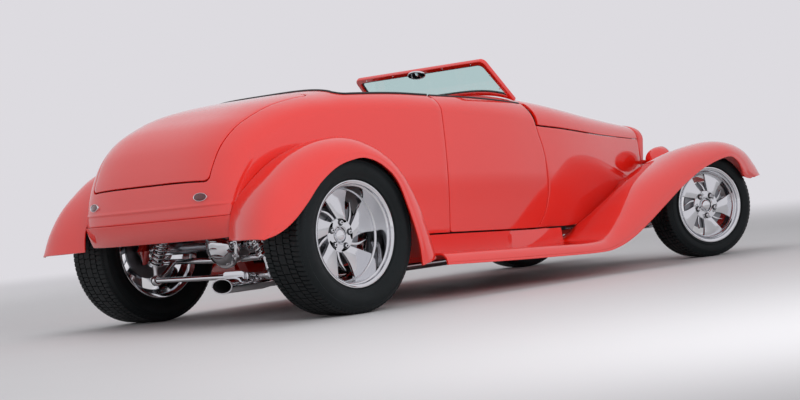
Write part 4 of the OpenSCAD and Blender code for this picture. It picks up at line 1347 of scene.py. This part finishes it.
def build_rear_axle():
    """Polished centre section with a ribbed domed cover, half shafts, brakes, arms and drive shaft."""
    z = 356
    cover = [(0.1, 108), (30, 106), (58, 98), (78, 84), (88, 66), (90, 52), (104, 50), (108, 46), (108, 34),
             (96, 30),
             (92, -40), (70, -90), (52, -108), (0.1, -110)]
    parts = [axis_spin("cover", cover, (-42, 0, z), (-1, 0, -0.12), 72)]
    for k in range(10):
        a = 2 * math.pi * k / 10
        head = [(0.1, 8), (4, 8), (6.5, 6.5), (6.5, 0), (9.5, -0.5), (9.5, -3), (0.1, -3)]
        parts.append(axis_spin("bolt", head, (-91, 98 * math.cos(a), z + 4 + 98 * math.sin(a)),
                               (-1, 0, -0.12), 16))
    ribs = [tube_mesh("rib", [(-149 + 0.006 * (y * y), y * 0.9, z - 12 + 40 * k - abs(y) * 0.1)
                              for y in range(-64, 65, 8)],
                      [2.0] + [4.5] * 15 + [2.0], 10) for k in (-0.9, 0, 0.9)]
    parts += ribs
    for side in (LEFT, RIGHT):
        tube = [(30, 100), (44, 100), (48, 112), (48, 126), (34, 132), (33, 590), (46, 596), (46, 606),
                (0.1, 606), (0.1, 100)]
        parts.append(axis_spin("tube", tube, (0, 0, z), (0, side, 0), 48))
        drum = [(0.1, 640), (80, 640), (80, 628), (74, 622), (74, 600), (80, 594), (80, 585), (0.1, 585)]
        parts.append(axis_spin("hub", drum, (0, 0, z), (0, side, 0), 64))
        stub = [(0.1, 700), (35.9, 700), (35.9, 606), (0.1, 606)]
        parts.append(axis_spin("stub", stub, (0, 0, z), (0, side, 0), 40))
        parts.append(tube_mesh("arm",
                               [(-50, 90 * side, 285), (-50, 340 * side, 290), (-50, 600 * side, 295)],
                               [16, 13, 16], 20))
        parts.append(tube_mesh("link",
                               [(-50, 425 * side, 288), (-112, 418 * side, 242), (-175, 412 * side, 208)],
                               [14, 12, 14], 16))
        eye = [(12, 13), (25, 13), (27, 10), (27, -10), (25, -13), (12, -13)]
        parts.append(axis_spin("eye", eye, (-175, 412 * side, 214), (0, 1, 0), 32))
        parts.append(axis_spin("eye", [(10, 11), (21, 11), (23, 8), (23, -8), (21, -11), (10, -11)],
                               (-50, 592 * side, 295), (1, 0, 0), 32))
    add_piece("rear_axle_case", joined("axle", parts), "car", POLISHED, ["rear_axle"],
              0.8)
    bar = [(-196, 372, 214), (-200, 120, 212), (-200, -200, 211), (-196, -440, 212)]
    add_piece("rear_cross_bar", tube_mesh("bar", bend(bar, 90), 13, 20), "car", CHROME)
    clevis = [tube_mesh("fork", [(-262, y, 214), (-214, y, 213)], [17, 13], 20) for y in (-352, -208)]
    plate = prism_mesh("plate",
                       [(-352, 18), (-338, 24), (-222, 24), (-208, 18), (-208, -14), (-226, -8), (-334, -8),
                                 (-352, -14)], -5, 5)
    turn = Matrix.Translation(place(-268, 0, 214)) @ Matrix.Rotation(math.pi / 2, 4, "Z")
    add_piece("exhaust_hanger", joined("hanger", clevis + [moved(plate, turn)]), "car",
              POLISHED, (), 1)
    shaft = [tube_mesh("shaft",
                       [(1007, 0, 301), (930, 0, 305), (920, 0, 306), (190, 0, 345), (180, 0, 345.5),
                        (90, 0, 350)],
                       [44, 44, 36, 36, 46, 46], 28)]
    add_piece("drive_shaft", joined("shaft", shaft), "car", BRUSHED)
    cage = []
    for side in (LEFT, RIGHT):
        calliper = [tube_mesh("calliper",
                              [(-95, 575 * side, z - 60), (-112, 575 * side, z), (-95, 575 * side, z + 60)],
                              [24, 32, 24], 18)]
        cage += calliper
    add_piece("rear_callipers", joined("callipers", cage), "car", SATIN_RED)


def build_underside():
    for name in ("front_axle", "knuckle_l", "knuckle_r"):
        finish_node(name, BRUSHED)
    finish_node("frame", SATIN_RED)
    finish_node("floor", CARPET)
    finish_node("firewall", SATIN_RED)
    finish_node("steering_column", POLISHED)
    for side, end in SIDES:
        build_spring(side, end)
    build_rear_axle()
    build_exhaust()
    build_engine()
    for side, end in SIDES:
        rod = tube_mesh("rod", [(2715, 470 * side, 196), (2350, 445 * side, 192), (1900, 405 * side, 190)],
                        [11, 10, 11], 16)
        eye = [(9, 12), (20, 12), (22, 8), (22, -8), (20, -12), (9, -12)]
        ends = [axis_spin("eye", eye, (2720, 470 * side, 197), (0, 1, 0), 28),
                axis_spin("eye", eye, (1890, 404 * side, 190), (0, 1, 0), 28)]
        add_piece("radius_rod_" + end, joined("rod", [rod] + ends), "car", CHROME)


def build_engine():
    """V8 under the hood: block, two heads with ribbed covers, intake, round air cleaner, pulleys, gearbox."""
    parts = [box_mesh("block", 1760, 2300, -150, 150, 262, 470),
             box_mesh("sump", 1800, 2260, -120, 120, 216, 264)]
    bell = [(150, 0), (150, 30), (128, 90), (95, 130), (94, 700), (60, 740), (60, 0)]
    parts.append(axis_spin("gearbox", [(0.1, 0)] + bell[:5] + [(0.1, 712)], (1722, 0, 300), (-1, 0, 0), 56))
    covers, bright = [], []
    for side in (LEFT, RIGHT):
        for k, (broad, height, mesh_list) in enumerate(((150, 110, parts), (118, 60, covers))):
            lean = Matrix.Rotation(-side * math.radians(42), 4, "X")
            low = (150 if k == 0 else 205)
            block = box_mesh("head", -250 + 12 * k, 250 - 12 * k, -broad / 2, broad / 2, 0, height)
            shift = Matrix.Translation(Vector((0, 0, low * MM)))
            zero = Matrix.Translation(-place(0, 0, 0))
            mesh_list.append(moved(block,
                                   Matrix.Translation(place(2030, 60 * side, 395)) @ lean @ shift @ zero))
        for k in range(7):
            rib = box_mesh("rib", -215 + 66 * k, -205 + 66 * k, -44, 44, 0, 6)
            lean = Matrix.Rotation(-side * math.radians(42), 4, "X")
            shift = Matrix.Translation(Vector((0, 0, 264 * MM)))
            zero = Matrix.Translation(-place(0, 0, 0))
            covers.append(moved(rib, Matrix.Translation(place(2030, 60 * side, 395)) @ lean @ shift @ zero))
    covers.append(box_mesh("intake", 1830, 2230, -85, 85, 470, 575))
    cleaner = [(0.1, 76), (12, 76), (14, 70), (120, 66), (150, 60), (156, 52), (152, 46), (150, 44),
               (150, 12), (152, 10), (156, 2),
               (150, 0), (60, -8), (60, -50), (0.1, -50)]
    bright.append(axis_spin("cleaner", cleaner, (2030, 0, 612), (0, 0, 1), 72))
    for x, y, zz, r in ((2310, 0, 330, 82), (2318, 0, 470, 70), (2318, 150, 500, 44), (2318, -150, 470, 50)):
        pulley = [(0.1, 22), (r * 0.4, 22), (r * 0.5, 16), (r * 0.86, 14), (r, 20), (r, 14), (r - 8, 10),
                  (r, 5), (r, 0), (0.1, 0)]
        bright.append(axis_spin("pulley", pulley, (x, y, zz), (1, 0, 0), 48))
    for side in (LEFT, RIGHT):
        for k in range(4):
            x = 1850 + 120 * k
            bright.append(tube_mesh("header",
                                    bend([(x, 168 * side, 470), (x, 222 * side, 440), (1940, 205 * side, 300),
                                                    (1900, 200 * side, 214)], 50), 17, 14))
    add_piece("engine_block", joined("block", parts), "car", CAST_IRON, ["engine"], 8, 3)
    add_piece("engine_covers", joined("covers", covers), "car", POLISHED, (), 3, 2)
    add_piece("engine_bright", joined("bright", bright), "car", CHROME)


# ------------------------------------------------------------------ studio
BACKDROP = srgb(221, 219, 224)


def build_studio():
    """Pale floor that melts into the backdrop, and large soft lamps."""
    scene = bpy.context.scene
    scene.view_settings.view_transform = "Standard"
    world = bpy.data.worlds.new("studio")
    scene.world = world
    world.use_nodes = True
    tree = world.node_tree
    tree.nodes.clear()
    out = tree.nodes.new("ShaderNodeOutputWorld")
    seen = tree.nodes.new("ShaderNodeBackground")
    light = tree.nodes.new("ShaderNodeBackground")
    mixer = tree.nodes.new("ShaderNodeMixShader")
    path = tree.nodes.new("ShaderNodeLightPath")
    any_seen = tree.nodes.new("ShaderNodeMath")
    any_seen.operation = "MAXIMUM"
    glossy = tree.nodes.new("ShaderNodeMath")
    glossy.operation = "MAXIMUM"
    tree.links.new(path.outputs["Is Camera Ray"], any_seen.inputs[0])
    tree.links.new(path.outputs["Is Glossy Ray"], glossy.inputs[0])
    tree.links.new(path.outputs["Is Transmission Ray"], glossy.inputs[1])
    tree.links.new(glossy.outputs[0], any_seen.inputs[1])
    seen.inputs["Color"].default_value = BACKDROP
    seen.inputs["Strength"].default_value = 1.0
    light.inputs["Color"].default_value = (1, 1, 1, 1)
    light.inputs["Strength"].default_value = 0.36
    tree.links.new(any_seen.outputs[0], mixer.inputs[0])
    tree.links.new(light.outputs[0], mixer.inputs[1])
    tree.links.new(seen.outputs[0], mixer.inputs[2])
    tree.links.new(mixer.outputs[0], out.inputs["Surface"])

    bm = bmesh.new()
    bmesh.ops.create_circle(bm, cap_ends=True, radius=30, segments=128)
    mesh = bpy.data.meshes.new("floor")
    bm.to_mesh(mesh)
    bm.free()
    floor = bpy.data.objects.new("floor_disc", mesh)
    scene.collection.objects.link(floor)
    f = Finish("studio_floor", srgb(208, 207, 210), 0.6, Specular_IOR_Level=0.1)
    f.vary("Roughness", f.noise(2, 3), 0.55, 0.7)
    edge = f.tree.nodes.new("ShaderNodeEmission")
    edge.inputs["Color"].default_value = BACKDROP
    fade = f.tree.nodes.new("ShaderNodeMapRange")
    fade.interpolation_type = "SMOOTHSTEP"
    fade.inputs["From Min"].default_value = 3.5
    fade.inputs["From Max"].default_value = 12
    size = f.tree.nodes.new("ShaderNodeVectorMath")
    size.operation = "LENGTH"
    f.link(f.coords.outputs["Object"], size.inputs[0])
    f.link(size.outputs["Value"], fade.inputs["Value"])
    blend = f.tree.nodes.new("ShaderNodeMixShader")
    f.link(fade.outputs["Result"], blend.inputs[0])
    f.link(f.shader.outputs[0], blend.inputs[1])
    f.link(edge.outputs[0], blend.inputs[2])
    output = next(n for n in f.tree.nodes if n.type == "OUTPUT_MATERIAL")
    f.link(blend.outputs[0], output.inputs["Surface"])
    mesh.materials.append(f.material)

    for name, at, aim, size_x, size_y, watts in (
            ("overhead", (-0.4, 0.6, 4.8), (0, 0, 0.4), 7.5, 4.0, 95),
            ("key", (-2.4, -4.8, 2.3), (-0.4, -0.5, 0.5), 3.2, 2.2, 110),
            ("rear_fill", (-7.5, 1.8, 2.6), (-0.8, 0, 0.5), 4.0, 3.0, 45),
            ("side_fill", (2.8, -8.0, 2.8), (0.4, 0, 0.5), 5.5, 3.0, 60),
            ("far_fill", (0.5, 7.5, 3.4), (0, 0, 0.5), 5.5, 3.0, 80)):
        lamp = bpy.data.lights.new(name, "AREA")
        lamp.shape = "RECTANGLE"
        lamp.size = size_x
        lamp.size_y = size_y
        lamp.energy = watts
        obj = bpy.data.objects.new(name, lamp)
        obj.visible_glossy = False
        obj.visible_camera = False
        obj.location = at
        obj.rotation_euler = (Vector(aim) - Vector(at)).to_track_quat("-Z", "Y").to_euler()
        scene.collection.objects.link(obj)


def build_camera():
    """Low rear three-quarter view, tilted as a photographer tilts a car across the frame."""
    yaw, pitch, roll = (math.radians(a) for a in (44.97, -0.381, -5.770))
    forward = Vector((math.sin(yaw) * math.cos(pitch), math.cos(yaw) * math.cos(pitch), math.sin(pitch)))
    across = forward.cross(Vector((0, 0, 1))).normalized()
    upward = across.cross(forward)
    right = across * math.cos(roll) + upward * math.sin(roll)
    up = upward * math.cos(roll) - across * math.sin(roll)
    lens = bpy.data.cameras.new("camera")
    lens.sensor_width = 36
    lens.lens = 90.46
    camera = bpy.data.objects.new("camera", lens)
    turn = Matrix((right, up, -forward)).transposed().to_4x4()
    camera.matrix_world = Matrix.Translation(place(-6164, -7289, 545.5)) @ turn
    bpy.context.scene.collection.objects.link(camera)
    bpy.context.scene.camera = camera


build_camera()
build_studio()
build_tub()
build_deck_lid()
build_doors()
build_nose_panels()
build_fenders()
build_roll_pan()
build_sill_panels()
build_corners()
build_windshield()
build_mirror()
build_cockpit_trim()
build_steering()
build_dashboard()
build_seat()
build_tail_lights()
build_headlights()
build_grille()
build_underside()
